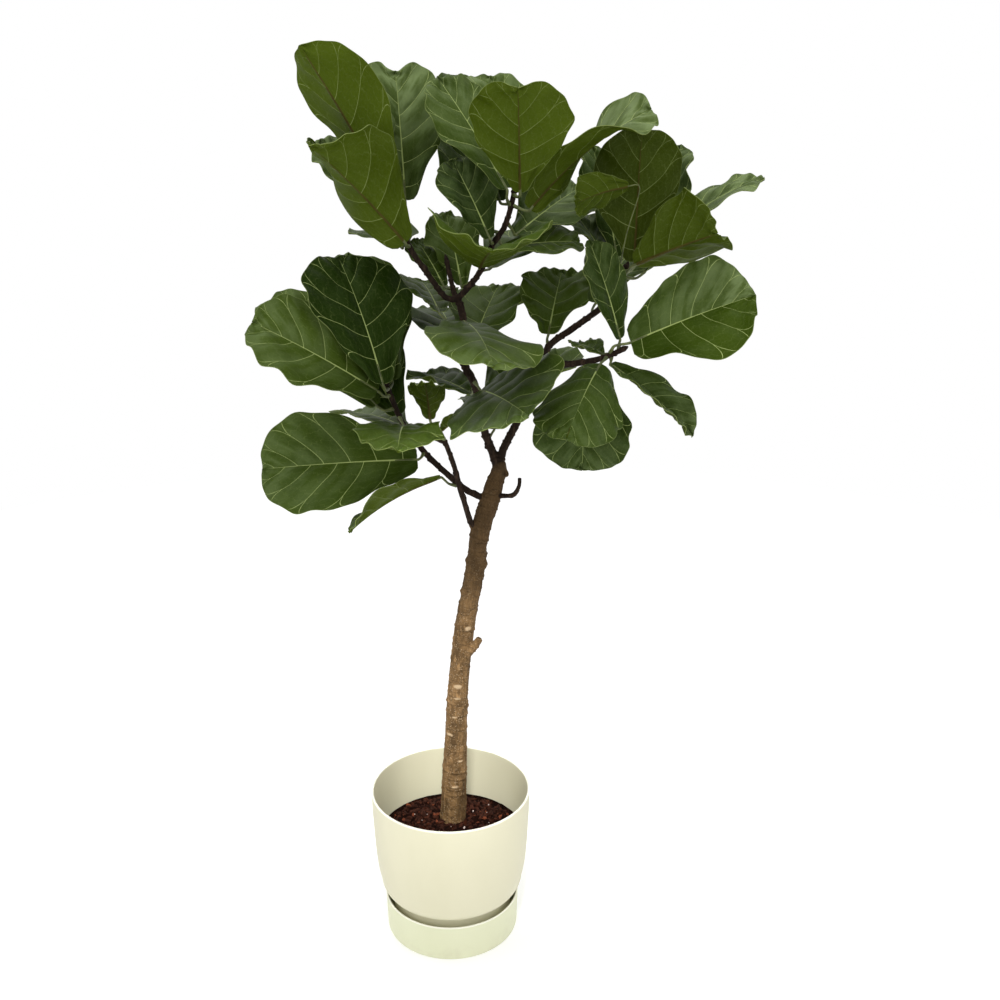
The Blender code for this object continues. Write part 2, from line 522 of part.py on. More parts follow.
def petiole_rings(leaf, blade):
    """Rings of eight points from the branch's bark to the blade's base, grooved along the top."""
    centre, direction, radius = stand_on(leaf.branch, leaf.at)
    target, along, across, up = blade.frame(0.0)
    out = target - centre
    out = (out - direction * out.dot(direction)).normalized()
    start = centre + out * (radius + PETIOLE_SEAT)
    span = (target - start).length
    handles = (start, start + out * span * 0.4, target - along * span * 0.4, target)
    rings = []
    for t in PETIOLE_STATIONS:
        a, b, c, d = handles
        place = a * (1 - t) ** 3 + b * 3 * t * (1 - t) ** 2 + c * 3 * t * t * (1 - t) + d * t ** 3
        heading = ((b - a) * (1 - t) ** 2 + (c - b) * 2 * t * (1 - t) + (d - c) * t * t).normalized()
        top = (up - heading * up.dot(heading)).normalized()
        side = heading.cross(top)
        ring = []
        for i in range(8):
            angle = math.pi - i * math.tau / 8
            reach = PETIOLE_RADIUS * (PETIOLE_GROOVE if i == 2 else 1.0)
            ring.append(place + side * reach * math.cos(angle) + top * reach * math.sin(angle))
        rings.append(ring)
    return rings


def blade_ring(blade, s):
    half_thickness = BLADE_THICKNESS / 2
    left, right = blade.at(s, -1.0), blade.at(s, 1.0)
    inner = [(blade.at(s, u), blade.normal(s, u)) for u in (-0.5, 0.0, 0.5)]
    upper = [point + normal * half_thickness for point, normal in inner]
    lower = [point - normal * half_thickness for point, normal in reversed(inner)]
    lower[1] -= inner[1][1] * MIDRIB_DEPTH * (1.2 - s)
    return [left] + upper + [right] + lower


def make_leaf(leaf, material):
    blade = Blade(leaf)
    shape = bmesh.new()
    rings = petiole_rings(leaf, blade) + [blade_ring(blade, s) for s in BLADE_STATIONS]
    rings = [[shape.verts.new(point) for point in ring] for ring in rings]
    for near, far in zip(rings, rings[1:]):
        for i in range(8):
            j = (i + 1) % 8
            if i < 4:                   # the upper face, and below it the same diagonals
                shape.faces.new((near[i], near[j], far[j]))
                shape.faces.new((near[i], far[j], far[i]))
            else:
                shape.faces.new((near[i], near[j], far[i]))
                shape.faces.new((near[j], far[j], far[i]))
    shape.faces.new(rings[0])
    tip = shape.verts.new(blade.at(1.0, 0.0))
    last = rings[-1]
    for i in range(8):
        shape.faces.new((last[i], last[(i + 1) % 8], tip))
    name = "leaf_" + leaf.name
    return add_object(name, mesh_from(shape, name), material)


def leaf_material(leaf, rng):
    shade = 1 + rng.uniform(-LEAF_SHADES, LEAF_SHADES)
    colour = tuple(value * shade for value in LEAF_GREEN)
    return finish("green_" + leaf.name, colour, 0.4)


def main():
    clear_scene()
    make_tray()
    make_pot()
    make_soil()
    make_wood()
    rng = random.Random(11)
    for leaf in LEAVES:
        make_leaf(leaf, leaf_material(leaf, rng))


main()
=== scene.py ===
"""The looks of a potted fiddle leaf fig, made round its solid model.

Each leaf is grown again on the form of its solid, with ribs, quilting, a wavy margin and a petiole.
The wood gets bark, the mix gets its chips and grains, and the pot and tray are turned again with
finer rims.
"""

import math
import random

import bpy
import numpy as np
from bpy.props import FloatProperty, FloatVectorProperty, IntProperty, PointerProperty
from bpy.types import Operator, Panel, PropertyGroup
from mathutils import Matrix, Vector, noise
from mathutils.bvhtree import BVHTree


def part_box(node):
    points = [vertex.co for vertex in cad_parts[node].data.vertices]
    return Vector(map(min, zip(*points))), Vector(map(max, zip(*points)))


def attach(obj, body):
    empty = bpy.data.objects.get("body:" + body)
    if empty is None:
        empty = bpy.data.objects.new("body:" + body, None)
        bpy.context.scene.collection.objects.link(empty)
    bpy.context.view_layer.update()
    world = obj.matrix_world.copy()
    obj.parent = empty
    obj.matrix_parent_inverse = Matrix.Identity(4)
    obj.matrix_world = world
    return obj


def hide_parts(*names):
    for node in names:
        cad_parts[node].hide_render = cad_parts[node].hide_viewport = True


bl_info = {
    "name": "Potted fiddle leaf fig",
    "version": (1, 0, 0),
    "blender": (4, 5, 0),
    "location": "3D View > Sidebar > Fig",
    "description": "Makes the leaves, bark, potting mix, pot and tray of a potted fiddle leaf fig",
    "category": "Object",
}

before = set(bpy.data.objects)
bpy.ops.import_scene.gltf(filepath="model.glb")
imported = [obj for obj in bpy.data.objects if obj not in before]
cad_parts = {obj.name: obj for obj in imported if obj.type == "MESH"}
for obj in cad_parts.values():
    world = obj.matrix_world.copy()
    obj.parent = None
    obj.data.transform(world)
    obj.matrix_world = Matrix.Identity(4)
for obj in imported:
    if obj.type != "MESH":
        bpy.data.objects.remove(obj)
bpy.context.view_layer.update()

BODY = "root"
POT_LOW, POT_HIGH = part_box("pot")
TRAY_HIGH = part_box("water_tray")[1]
MIX_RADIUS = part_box("potting_mix")[1].x

# ---------------------------------------------------------------- settings


def length_setting(name, description, default):
    return FloatProperty(name=name, description=description, default=default, unit="LENGTH",
                         subtype="DISTANCE")


def colour_setting(name, description, default):
    return FloatVectorProperty(name=name, description=description, default=default, subtype="COLOR",
                               size=3, min=0, max=1)


class PotSettings(PropertyGroup):
    sides: IntProperty(name="Sides", description="Steps round the pot and tray", default=144, min=24)
    wall: length_setting("Pot wall", "Thickness of the pot's wall", 0.004)
    neck_radius: length_setting("Foot radius", "Outside of the foot ring in the tray", 0.111)
    neck_top: length_setting("Foot height", "Height at which the foot ring meets the shoulder", 0.084)
    floor: length_setting("Pot floor", "Upper face of the pot's own floor", 0.094)
    tray_wall: length_setting("Tray wall", "Thickness of the tray's wall", 0.003)
    tray_foot: length_setting("Tray foot radius", "Outside radius of the tray near the floor", 0.124)
    tray_floor: length_setting("Tray floor", "Thickness of the tray's floor", 0.004)
    pot_colour: colour_setting("Pot colour", "Cream of the pot", (0.730, 0.700, 0.512))
    tray_colour: colour_setting("Tray colour", "Cream of the tray", (0.755, 0.770, 0.545))


class MixSettings(PropertyGroup):
    lump: length_setting("Lumps", "Height of the lumps in the surface", 0.0085)
    sink: length_setting("Sunk edge", "How far the mix has sunk beside the wall", 0.013)
    sink_width: length_setting("Edge width", "Width of the sunk edge", 0.030)
    voxel: length_setting("Fineness", "Mesh size of the surface", 0.0026)
    chips: IntProperty(name="Chips", description="Bark chips on the surface", default=1700, min=0)
    chip_size: length_setting("Chip size", "Length of a middling chip", 0.0105)
    grains: IntProperty(name="Perlite", description="Pale grains on the surface", default=34, min=0)
    dark: colour_setting("Dark mix", "Colour of the damp mix", (0.0125, 0.0031, 0.0012))
    red: colour_setting("Red chips", "Colour of the redder chips", (0.054, 0.0140, 0.0057))


class WoodSettings(PropertyGroup):
    voxel: length_setting("Fineness", "Mesh size of the bark", 0.0017)
    furrow: length_setting("Furrows", "Depth of the bark's furrows on the trunk", 0.0011)
    ring: length_setting("Rings", "Height of the rings that old leaves left", 0.0010)
    old_bark: colour_setting("Old bark", "Colour of the trunk's bark", (0.222, 0.130, 0.055))
    young_bark: colour_setting("Young bark", "Colour of the branches", (0.018, 0.011, 0.007))
    scar: colour_setting("Scars", "Colour of the scars and warts", (0.480, 0.350, 0.210))


class LeafSettings(PropertyGroup):
    cells: IntProperty(name="Side ribs", description="Side ribs on each half of a blade", default=6, min=3)
    thickness: length_setting("Thickness", "Thickness of a blade", 0.0009)
    quilt: length_setting("Quilting", "How far the blade swells between its side ribs", 0.0027)
    ripple: length_setting("Ripples", "Height of the ripples along the margins", 0.0055)
    rib: length_setting("Midrib", "How far the midrib stands out below", 0.0026)
    petiole: length_setting("Petiole", "Radius of a petiole", 0.0023)
    deep_green: colour_setting("Deep green", "Darker green of the tops", (0.011, 0.028, 0.0008))
    fresh_green: colour_setting("Fresh green", "Lighter green of the tops", (0.052, 0.088, 0.0024))
    # painted sheen: the grey-green of reflected light, painted into a top's colour
    painted_sheen_green: colour_setting("Painted sheen green", "Greyer green painted where a top shows sheen",
                               (0.175, 0.235, 0.092))
    olive: colour_setting("Underside", "Olive of the undersides", (0.080, 0.122, 0.0015))
    vein: colour_setting("Ribs", "Colour of the ribs and veins", (0.540, 0.640, 0.230))


class StageSettings(PropertyGroup):
    floor_colour: colour_setting("Floor", "Colour of the floor", (0.86, 0.86, 0.86))
    glow: FloatProperty(name="Floor glow", description="Light that the floor gives off", default=0.24, min=0)
    sky: FloatProperty(name="Surround", description="Strength of the pale surround", default=0.72, min=0)
    key: FloatProperty(name="Key light", description="Power of the large front light", default=62.0,
                       unit="POWER")
    pot_light: FloatProperty(name="Pot light", description="Power of the narrow light into the pot",
                             default=205.0, unit="POWER")
    lens: FloatProperty(name="Lens", description="Focal length of the camera, in millimetres", default=43.2)


# ---------------------------------------------------------------- handling objects

def only(thing):
    """Select one object and nothing else."""
    if bpy.context.object and bpy.context.object.mode != "OBJECT":
        bpy.ops.object.mode_set(mode="OBJECT")
    bpy.ops.object.select_all(action="DESELECT")
    thing.select_set(True)
    bpy.context.view_layer.objects.active = thing


def fresh(name):
    """Name the object that an operator has just added, and clear its materials."""
    thing = bpy.context.object
    thing.name = name
    thing.data.name = name
    thing.data.materials.clear()
    return thing


def settle(thing):
    """Put an object's place into its mesh."""
    only(thing)
    bpy.ops.object.transform_apply(location=True, rotation=True, scale=True)
    return thing


def link_new(name, data):
    """A new object of the scene, made of a mesh or curve."""
    thing = bpy.data.objects.new(name, data)
    bpy.context.scene.collection.objects.link(thing)
    return thing


def apply_modifier(thing, kind, **values):
    only(thing)
    modifier = thing.modifiers.new(kind.title(), kind)
    for key, value in values.items():
        setattr(modifier, key, value)
    bpy.ops.object.modifier_apply(modifier=modifier.name)


def smooth(thing, angle=40):
    only(thing)
    bpy.ops.object.shade_smooth_by_angle(angle=math.radians(angle))


def read_points(thing, what="co"):
    """The places of a mesh's points, or their normals, as rows of three numbers."""
    flat = np.empty(len(thing.data.vertices) * 3, np.float32)
    thing.data.vertices.foreach_get(what, flat)
    return flat.reshape(-1, 3).astype(float)


def move_points(thing, points):
    thing.data.vertices.foreach_set("co", np.asarray(points, np.float32).ravel())
    thing.data.update()


def keep_number(thing, name, values):
    """Store one number for each point of a mesh, for its material to read."""
    attribute = thing.data.attributes.new(name, "FLOAT", "POINT")
    attribute.data.foreach_set("value", np.asarray(values, np.float32))


def search_tree(thing):
    """A mesh's faces in a tree that rays can be cast at."""
    return BVHTree.FromPolygons([vertex.co for vertex in thing.data.vertices],
                                [tuple(polygon.vertices) for polygon in thing.data.polygons])


def joined_copy(node, name):
    """A new object with a copy of a solid's mesh, its loose triangles joined."""
    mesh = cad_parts[node].data.copy()
    mesh.name = name
    mesh.materials.clear()
    thing = link_new(name, mesh)
    only(thing)
    bpy.ops.mesh.customdata_custom_splitnormals_clear()
    bpy.ops.object.mode_set(mode="EDIT")
    bpy.ops.mesh.select_all(action="SELECT")
    bpy.ops.mesh.remove_doubles(threshold=0.00001)
    bpy.ops.object.mode_set(mode="OBJECT")
    return thing


def hand_over(piece, slot, materials, *nodes):
    """Finish a piece: its materials, the body it rides on, and the solids it stands for."""
    for material in materials:
        piece.data.materials.append(material)
    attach(piece, BODY)
    if nodes:
        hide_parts(*nodes)
    return piece


def eased(share):
    """A share from 0 to 1 that starts and ends gently."""
    share = np.clip(share, 0, 1)
    return share * share * (3 - 2 * share)


# ---------------------------------------------------------------- wiring materials

class Wiring:
    """Adds nodes to a tree and joins them.  Any input may be a value or another node's output."""

    def __init__(self, tree):
        self.tree = tree
        self.count = 0

    def add(self, kind, inputs=None, **settings):
        node = self.tree.nodes.new(kind)
        node.location = (180 * (self.count % 8), -220 * (self.count // 8))
        self.count += 1
        for key, value in settings.items():
            setattr(node, key, value)
        for key, value in (inputs or {}).items():
            self.put(node.inputs[key], value)
        return node

    def put(self, socket, value):
        if isinstance(value, bpy.types.NodeSocket):
            self.tree.links.new(value, socket)
        else:
            socket.default_value = value

    def place(self):
        """Where a point lies on its piece."""
        return self.add("ShaderNodeTexCoord").outputs["Object"]

    def blade_map(self):
        """Where a point lies on a blade: U across it, V from base to tip."""
        return self.add("ShaderNodeUVMap", uv_map="UVMap").outputs[0]

    def stored(self, name):
        """A number that the mesh stores for each of its points."""
        return self.add("ShaderNodeAttribute", attribute_name=name).outputs["Fac"]

    def split(self, vector):
        return self.add("ShaderNodeSeparateXYZ", {0: vector}).outputs

    def stretched(self, vector, x, y, z):
        return self.add("ShaderNodeMapping", {"Vector": vector, "Scale": (x, y, z)}).outputs[0]

    def cloud(self, vector, scale, detail=3.0, roughness=0.5):
        node = self.add("ShaderNodeTexNoise", {"Vector": vector, "Scale": scale, "Detail": detail,
                                               "Roughness": roughness})
        return node.outputs["Fac"]

    def sum(self, operation, a, b=0.0, c=0.0):
        return self.add("ShaderNodeMath", {0: a, 1: b, 2: c}, operation=operation).outputs[0]

    def times(self, a, b):
        return self.sum("MULTIPLY", a, b)

    def scaled(self, value, factor, start):
        return self.sum("MULTIPLY_ADD", value, factor, start)

    def total(self, *parts):
        """The sum of some values, each times its share."""
        found = 0.0
        for value, share in parts:
            found = self.scaled(value, share, found)
        return found

    def step(self, value, low, high, bottom=0.0, top=1.0):
        """A smooth step from bottom at low to top at high."""
        node = self.add("ShaderNodeMapRange", {0: value, 1: low, 2: high, 3: bottom, 4: top},
                        interpolation_type="SMOOTHSTEP")
        return node.outputs[0]

    def blend(self, share, a, b, way="MIX"):
        node = self.add("ShaderNodeMix", data_type="RGBA", blend_type=way)
        self.put(node.inputs[0], share)
        self.put(node.inputs[6], a)
        self.put(node.inputs[7], b)
        return node.outputs[2]

    def cover(self, under, mask, share, colour):
        """Lay up to a share of a colour over what is there, where a mask says."""
        return self.blend(self.times(mask, share), under, colour)

    def group(self, tree, inputs):
        node = self.add("ShaderNodeGroup")
        node.node_tree = tree
        for key, value in inputs.items():
            self.put(node.inputs[key], value)
        return node.outputs

    def dress(self, shader, colour, roughness, relief, strength, depth, specular=0.5):
        """Wire up a shader's colour, roughness and relief, the last as bump of a depth in metres."""
        bump = self.add("ShaderNodeBump", {"Strength": strength, "Distance": depth, "Height": relief})
        for socket, value in (("Base Color", colour), ("Roughness", roughness),
                              ("Specular IOR Level", specular), ("Normal", bump.outputs[0])):
            self.put(shader.inputs[socket], value)


def new_group(name, inputs, outputs):
    """A node group with its named sockets; each is (name, kind)."""
    tree = bpy.data.node_groups.new(name, "ShaderNodeTree")
    for label, kind in inputs:
        tree.interface.new_socket(label, in_out="INPUT", socket_type="NodeSocket" + kind)
    for label, kind in outputs:
        tree.interface.new_socket(label, in_out="OUTPUT", socket_type="NodeSocket" + kind)
    wiring = Wiring(tree)
    return tree, wiring, wiring.add("NodeGroupInput").outputs, wiring.add("NodeGroupOutput").inputs


def new_material(name, colour):
    material = bpy.data.materials.new(name)
    material.use_nodes = True
    material.diffuse_color = rgba(colour)
    tree = material.node_tree
    shader = tree.nodes["Principled BSDF"]
    shader.location = (1800, 0)
    tree.nodes["Material Output"].location = (2200, 0)
    return material, Wiring(tree), shader


def rgba(colour, share=1.0):
    """A colour with its alpha, made darker or lighter by a share."""
    return (*(min(1.0, value * share) for value in colour), 1.0)


# ---------------------------------------------------------------- leaf materials

TOP_RIB, UNDERSIDE_RIB = 0.015, 0.014       # width of a side rib, as a share of the gap between two
FORK_START, FORK_SPREAD = 0.66, 0.75        # how far across the blade a rib forks, and how fast it parts
WARM_GREEN = (0.300, 0.380, 0.004)          # light that has come through a leaf
MIDRIB_BROWNS = (0.110, 0.090, 0.015), (0.045, 0.022, 0.006)
STALK_GREENS = (0.060, 0.075, 0.018), (0.150, 0.175, 0.050)


def rib_group():
    """Ribs and veins over a blade's map: U runs across it and V from base to tip."""
    name = "blade_ribs"
    if name in bpy.data.node_groups:
        return bpy.data.node_groups[name]
    tree, w, given, out = new_group(
        name, [("Map", "Vector"), ("Side Ribs", "Float"), ("Rib Width", "Float")],
        [("Midrib", "Float"), ("Side Rib", "Float"), ("Cross Vein", "Float"), ("Net", "Float"),
         ("Rim Highlight", "Float")])
    u, v = w.split(given["Map"])[:2]
    across = w.times(w.sum("ABSOLUTE", w.sum("SUBTRACT", u, 0.5)), 2.0)
    right_half = w.sum("GREATER_THAN", u, 0.5)

    # side ribs: the two halves are half a gap apart, and each rib forks near the margin
    sway = w.times(w.sum("SUBTRACT", w.cloud(given["Map"], 5.0, 1.0), 0.5), across)
    phase = w.scaled(right_half, 0.5, w.times(v, given["Side Ribs"]))
    phase = w.scaled(sway, 0.22, phase)
    offset = w.sum("SUBTRACT", w.sum("FRACT", w.sum("ADD", phase, 0.5)), 0.5)
    fork = w.times(w.sum("MAXIMUM", w.sum("SUBTRACT", across, FORK_START), 0.0), FORK_SPREAD)
    away = w.sum("ABSOLUTE", w.sum("SUBTRACT", w.sum("ABSOLUTE", offset), fork))
    width = w.times(given["Rib Width"], w.sum("SUBTRACT", 1.35, across))
    side_rib = w.step(away, w.times(width, 1.5), w.times(width, 0.4))
    side_rib = w.times(side_rib, w.step(across, 1.0, 0.86))
    side_rib = w.times(side_rib, w.step(v, 0.99, 0.93))

    # midrib: it thins towards the tip
    slender = w.scaled(v, -0.065, 0.120)
    midrib = w.times(w.step(across, slender, w.times(slender, 0.55)), w.step(v, 0.995, 0.90))
    # a pale line along the margin: a painted highlight where the edge catches the light
    rim = w.step(across, 0.975, 0.995)

    # cross veins run like rungs between the side ribs, and a net of fine veins fills the rest
    ladder = w.scaled(w.cloud(w.stretched(given["Map"], 9.0, 30.0, 1.0), 1.0, 2.0), 1.6,
                      w.times(across, 8.0))
    rung = w.sum("ABSOLUTE", w.sum("SUBTRACT", w.sum("FRACT", ladder), 0.5))
    cross_vein = w.step(rung, 0.06, 0.015)
    cells = w.add("ShaderNodeTexVoronoi", {"Vector": w.stretched(given["Map"], 38.0, 60.0, 1.0),
                                           "Scale": 1.0}, feature="DISTANCE_TO_EDGE")
    net = w.step(cells.outputs["Distance"], 0.12, 0.0)
    for label, value in (("Midrib", midrib), ("Side Rib", side_rib), ("Cross Vein", cross_vein),
                         ("Net", net), ("Rim Highlight", rim)):
        w.put(out[label], value)
    return tree


def leaf_ribs(w, ground, s, width):
    return w.group(rib_group(), {"Map": ground, "Side Ribs": float(s.cells), "Rib Width": width})


def let_light_through(w, shader, colour, share):
    """Mix some light through from behind into a leaf's shader."""
    output = w.tree.nodes["Material Output"]
    warm = w.blend(0.5, colour, rgba(WARM_GREEN))
    through = w.add("ShaderNodeBsdfTranslucent", {"Color": warm})
    both = w.add("ShaderNodeMixShader", {0: share, 1: shader.outputs[0], 2: through.outputs[0]})
    w.tree.links.new(both.outputs[0], output.inputs["Surface"])


def leaf_top_material(s):
    material, w, shader = new_material("leaf_top", s.fresh_green)
    place, ground = w.place(), w.blade_map()
    across, along_blade = w.split(ground)[:2]
    ribs = leaf_ribs(w, ground, s, TOP_RIB)

    # green, deeper towards the stalk
    # the stored tone is partly the leaf's own green, and partly painted shade for leaves deep in the crown
    tone_and_shade = w.total((w.stored("tone_and_shade"), 0.8), (w.cloud(place, 14.0, 4.0, 0.6), 0.60))
    green = w.blend(w.step(tone_and_shade, 0.28, 1.20), rgba(s.deep_green), rgba(s.fresh_green))
    green = w.blend(w.step(along_blade, 0.60, 0.0, 0.0, 0.40), green, rgba(s.deep_green))

    # painted sheen in bands: grey-green reflection painted into the colour, with a share for each half,
    # growing towards the tip
    right_half = w.step(across, 0.498, 0.502)
    sheen = w.sum("ADD", w.times(w.stored("painted_sheen_left"), w.sum("SUBTRACT", 1.0, right_half)),
                  w.times(w.stored("painted_sheen_right"), right_half))
    bands = w.cloud(w.stretched(ground, 4.0, 11.0, 1.0), 1.0, 3.0)
    painted_sheen = w.times(sheen, w.step(bands, 0.35, 0.65, 0.25, 1.25))
    painted_sheen = w.times(painted_sheen, w.step(along_blade, 0.05, 0.80, 0.30, 1.20))
    green = w.blend(painted_sheen, green, rgba(s.painted_sheen_green))

    vein, pale = rgba(s.vein), w.blend(0.45, rgba(s.fresh_green), rgba(s.vein))
    # the margin's share is a painted highlight along the edge
    for label, share, colour in (("Cross Vein", 0.12, pale), ("Net", 0.05, pale), ("Rim Highlight", 0.35, vein),
                                 ("Side Rib", 0.85, vein), ("Midrib", 0.80, vein)):
        green = w.cover(green, ribs[label], share, colour)
    relief = w.total((ribs["Cross Vein"], -0.35), (ribs["Net"], -0.22), (ribs["Side Rib"], -0.6),
                     (w.cloud(place, 120.0, 2.0), 0.35))
    w.dress(shader, green, w.scaled(w.cloud(place, 30.0, 3.0), 0.16, 0.32), relief, 0.5, 0.0007, 0.15)
    shader.inputs["Specular Tint"].default_value = (0.80, 1.00, 0.45, 1.0)
    let_light_through(w, shader, green, 0.14)
    return material


def leaf_underside_material(s):
    material, w, shader = new_material("leaf_underside", s.olive)
    place = w.place()
    ribs = leaf_ribs(w, w.blade_map(), s, UNDERSIDE_RIB)
    # the stored tone darkens an underside too: partly its own olive, and partly painted shade
    tone_and_shade = w.total((w.stored("tone_and_shade"), 0.7), (w.cloud(place, 11.0, 4.0, 0.6), 0.5))
    olive = w.blend(w.step(tone_and_shade, 0.1, 1.1), rgba(s.olive, 0.45), rgba(s.olive))
    vein, pale = rgba(s.vein), w.blend(0.5, rgba(s.olive), rgba(s.vein))
    brown = w.blend(w.cloud(place, 40.0, 2.0), *map(rgba, MIDRIB_BROWNS))
    # the margin's share is a painted highlight along the edge
    for label, share, colour in (("Cross Vein", 0.14, pale), ("Net", 0.07, pale), ("Rim Highlight", 0.40, vein),
                                 ("Side Rib", 0.60, vein), ("Midrib", 0.85, brown)):
        olive = w.cover(olive, ribs[label], share, colour)
    relief = w.total((ribs["Cross Vein"], 0.45), (ribs["Net"], 0.30), (ribs["Side Rib"], 1.0))
    w.dress(shader, olive, w.scaled(w.cloud(place, 40.0, 3.0), 0.15, 0.52), relief, 0.6, 0.0007, 0.12)
    let_light_through(w, shader, olive, 0.24)
    return material


def petiole_material(s):
    material, w, shader = new_material("petiole_green", s.vein)
    place = w.place()
    blotch = w.cloud(place, 60.0, 4.0, 0.6)
    colour = w.blend(w.step(blotch, 0.35, 0.7), *map(rgba, STALK_GREENS))
    fibres = w.cloud(w.stretched(place, 1, 1, 0.3), 500.0, 2.0)
    w.dress(shader, colour, w.scaled(blotch, 0.2, 0.4), fibres, 0.4, 0.0005)
    return material


# ---------------------------------------------------------------- bark and mix materials

def spots(w, vector, scale, randomness, low, high):
    """Round spots scattered over a piece, from nothing at low to whole at high."""
    cells = w.add("ShaderNodeTexVoronoi", {"Vector": vector, "Scale": scale, "Randomness": randomness})
    return w.step(cells.outputs["Distance"], low, high)


def bark_material(s):
    material, w, shader = new_material("bark", s.old_bark)
    place = w.place()
    height = w.split(place)[2]
    dark, scar = rgba(s.old_bark, 0.38), rgba(s.scar)
    patches = w.cloud(w.stretched(place, 1, 1, 0.45), 38.0, 5.0, 0.65)
    streaks = w.cloud(w.stretched(place, 1, 1, 0.16), 210.0, 4.0, 0.6)
    cracks = w.step(w.cloud(w.stretched(place, 0.30, 0.30, 1.5), 190.0, 3.0, 0.6), 0.60, 0.68)
    wart = w.times(spots(w, w.stretched(place, 1, 1, 1.7), 190.0, 0.9, 0.30, 0.14),
                   w.step(w.cloud(place, 75.0, 2.0), 0.42, 0.52))
    speck = w.times(spots(w, place, 340.0, 1.0, 0.34, 0.16), w.step(w.cloud(place, 120.0, 2.0), 0.44, 0.56))
    bark = w.blend(w.step(patches, 0.34, 0.62), dark, rgba(s.old_bark))
    for mask, share, colour in ((w.step(streaks, 0.52, 0.72), 0.55, rgba(s.old_bark, 1.7)),
                                (w.stored("furrow"), 0.75, dark), (wart, 0.75, scar),
                                (cracks, 0.65, dark), (speck, 0.60, scar)):
        bark = w.cover(bark, mask, share, colour)

    # painted shade, darker towards the leaves under the crown, and young bark on what is thin and high
    shade = w.scaled(w.cloud(place, 30.0, 2.0), 0.5, w.step(height, 0.48, 0.88))
    bark = w.blend(w.step(shade, 0.25, 1.35, 0.0, 0.85), bark, rgba(s.old_bark, 0.30))
    young = w.blend(w.step(streaks, 0.45, 0.75), rgba(s.young_bark), rgba(s.young_bark, 3.2))
    old = w.sum("MAXIMUM", w.step(w.stored("girth"), 0.0085, 0.0145), w.step(height, 0.80, 0.70))
    bark = w.cover(w.blend(old, young, bark), w.stored("scar"), 0.9, scar)

    relief = w.total((streaks, 0.8), (wart, 0.9), (cracks, -0.8), (w.cloud(place, 420.0, 3.0, 0.6), 0.5))
    w.dress(shader, bark, w.scaled(patches, -0.15, 0.92), relief, 0.9, 0.0014, 0.12)
    return material


def mix_material(s):
    material, w, shader = new_material("potting_mix", s.dark)
    place = w.place()
    crumbs = w.cloud(place, 260.0, 5.0, 0.7)
    patches = w.cloud(place, 60.0, 3.0, 0.6)
    colour = w.blend(w.step(crumbs, 0.38, 0.68), rgba(s.dark, 0.5), rgba(s.dark))
    colour = w.cover(colour, w.step(patches, 0.5, 0.7), 0.6, rgba(s.red))
    w.dress(shader, colour, w.scaled(crumbs, -0.2, 1.0), crumbs, 1.0, 0.0020, 0.08)
    return material


def chip_material(s):
    material, w, shader = new_material("bark_chips", s.red)
    place, shade = w.place(), w.stored("shade")
    grain = w.cloud(w.stretched(place, 1.0, 1.0, 2.5), 420.0, 3.0, 0.6)
    colour = w.blend(w.step(shade, 0.35, 0.95), rgba(s.dark, 2.1), rgba(s.red))
    # the palest chips are painted brighter still, as glints: a painted highlight
    colour = w.blend(w.step(shade, 0.90, 0.97), colour, rgba(s.red, 3.0))
    colour = w.cover(colour, w.step(grain, 0.5, 0.7), 0.45, rgba(s.dark, 0.6))
    w.dress(shader, colour, w.scaled(grain, 0.25, 0.62), grain, 0.9, 0.0010, 0.14)
    return material


def grain_material():
    material, w, shader = new_material("perlite", (0.75, 0.68, 0.62))
    place = w.place()
    pores = w.cloud(place, 900.0, 3.0, 0.6)
    colour = w.blend(w.step(pores, 0.3, 0.7), (0.34, 0.24, 0.20, 1.0), (0.78, 0.66, 0.60, 1.0))
    w.dress(shader, colour, w.scaled(pores, 0.1, 0.85), pores, 0.8, 0.0005)
    return material


# ---------------------------------------------------------------- pot and tray materials

DUST = (0.42, 0.36, 0.25)
PAINTED_RIM_HIGHLIGHT = (0.97, 0.96, 0.84)
HIGHLIGHT_START, HIGHLIGHT_FULL = 0.0030, 0.0020        # where the painted highlight round a rim starts, below its top


def moulded_group():
    """Moulded plastic: a faint flow pattern, dust that has settled low down, and small pits."""
    name = "moulded_plastic"
    if name in bpy.data.node_groups:
        return bpy.data.node_groups[name]
    tree, w, given, out = new_group(
        name, [("Place", "Vector"), ("Colour", "Color"), ("Dust Height", "Float"), ("Dust", "Float")],
        [("Colour", "Color"), ("Roughness", "Float"), ("Height", "Float")])
    flow = w.cloud(w.stretched(given["Place"], 1, 1, 0.35), 9.0, 4.0, 0.55)
    pits = w.cloud(given["Place"], 650.0, 2.0, 0.5)
    tint = w.blend(w.step(flow, 0.25, 0.75), (0.95, 0.95, 0.93, 1.0), (1.0, 1.0, 1.0, 1.0))
    colour = w.blend(1.0, given["Colour"], tint, "MULTIPLY")
    low = w.step(w.split(given["Place"])[2], given["Dust Height"], 0.0)
    smudge = w.times(w.step(w.cloud(given["Place"], 28.0, 4.0, 0.6), 0.42, 0.75), low)
    w.put(out["Colour"], w.cover(colour, smudge, given["Dust"], rgba(DUST)))
    w.put(out["Roughness"], w.scaled(flow, 0.12, w.scaled(pits, 0.10, 0.36)))
    w.put(out["Height"], w.scaled(flow, 0.6, pits))
    return tree


def plastic_material(name, colour, dust_height, dust, rim):
    """Cream plastic with dust up to a height, and a painted highlight round its rim."""
    material, w, shader = new_material(name, colour)
    place = w.place()
    made = w.group(moulded_group(), {"Place": place, "Colour": rgba(colour),
                                     "Dust Height": dust_height, "Dust": dust})
    # a painted highlight round the rim: a paler band just below its top
    rim_highlight = w.step(w.split(place)[2], rim - HIGHLIGHT_START, rim - HIGHLIGHT_FULL)
    w.dress(shader, w.cover(made["Colour"], rim_highlight, 0.75, rgba(PAINTED_RIM_HIGHLIGHT)), made["Roughness"], made["Height"],
            0.12, 0.0003, 0.45)
    return material


# ---------------------------------------------------------------- pot and tray

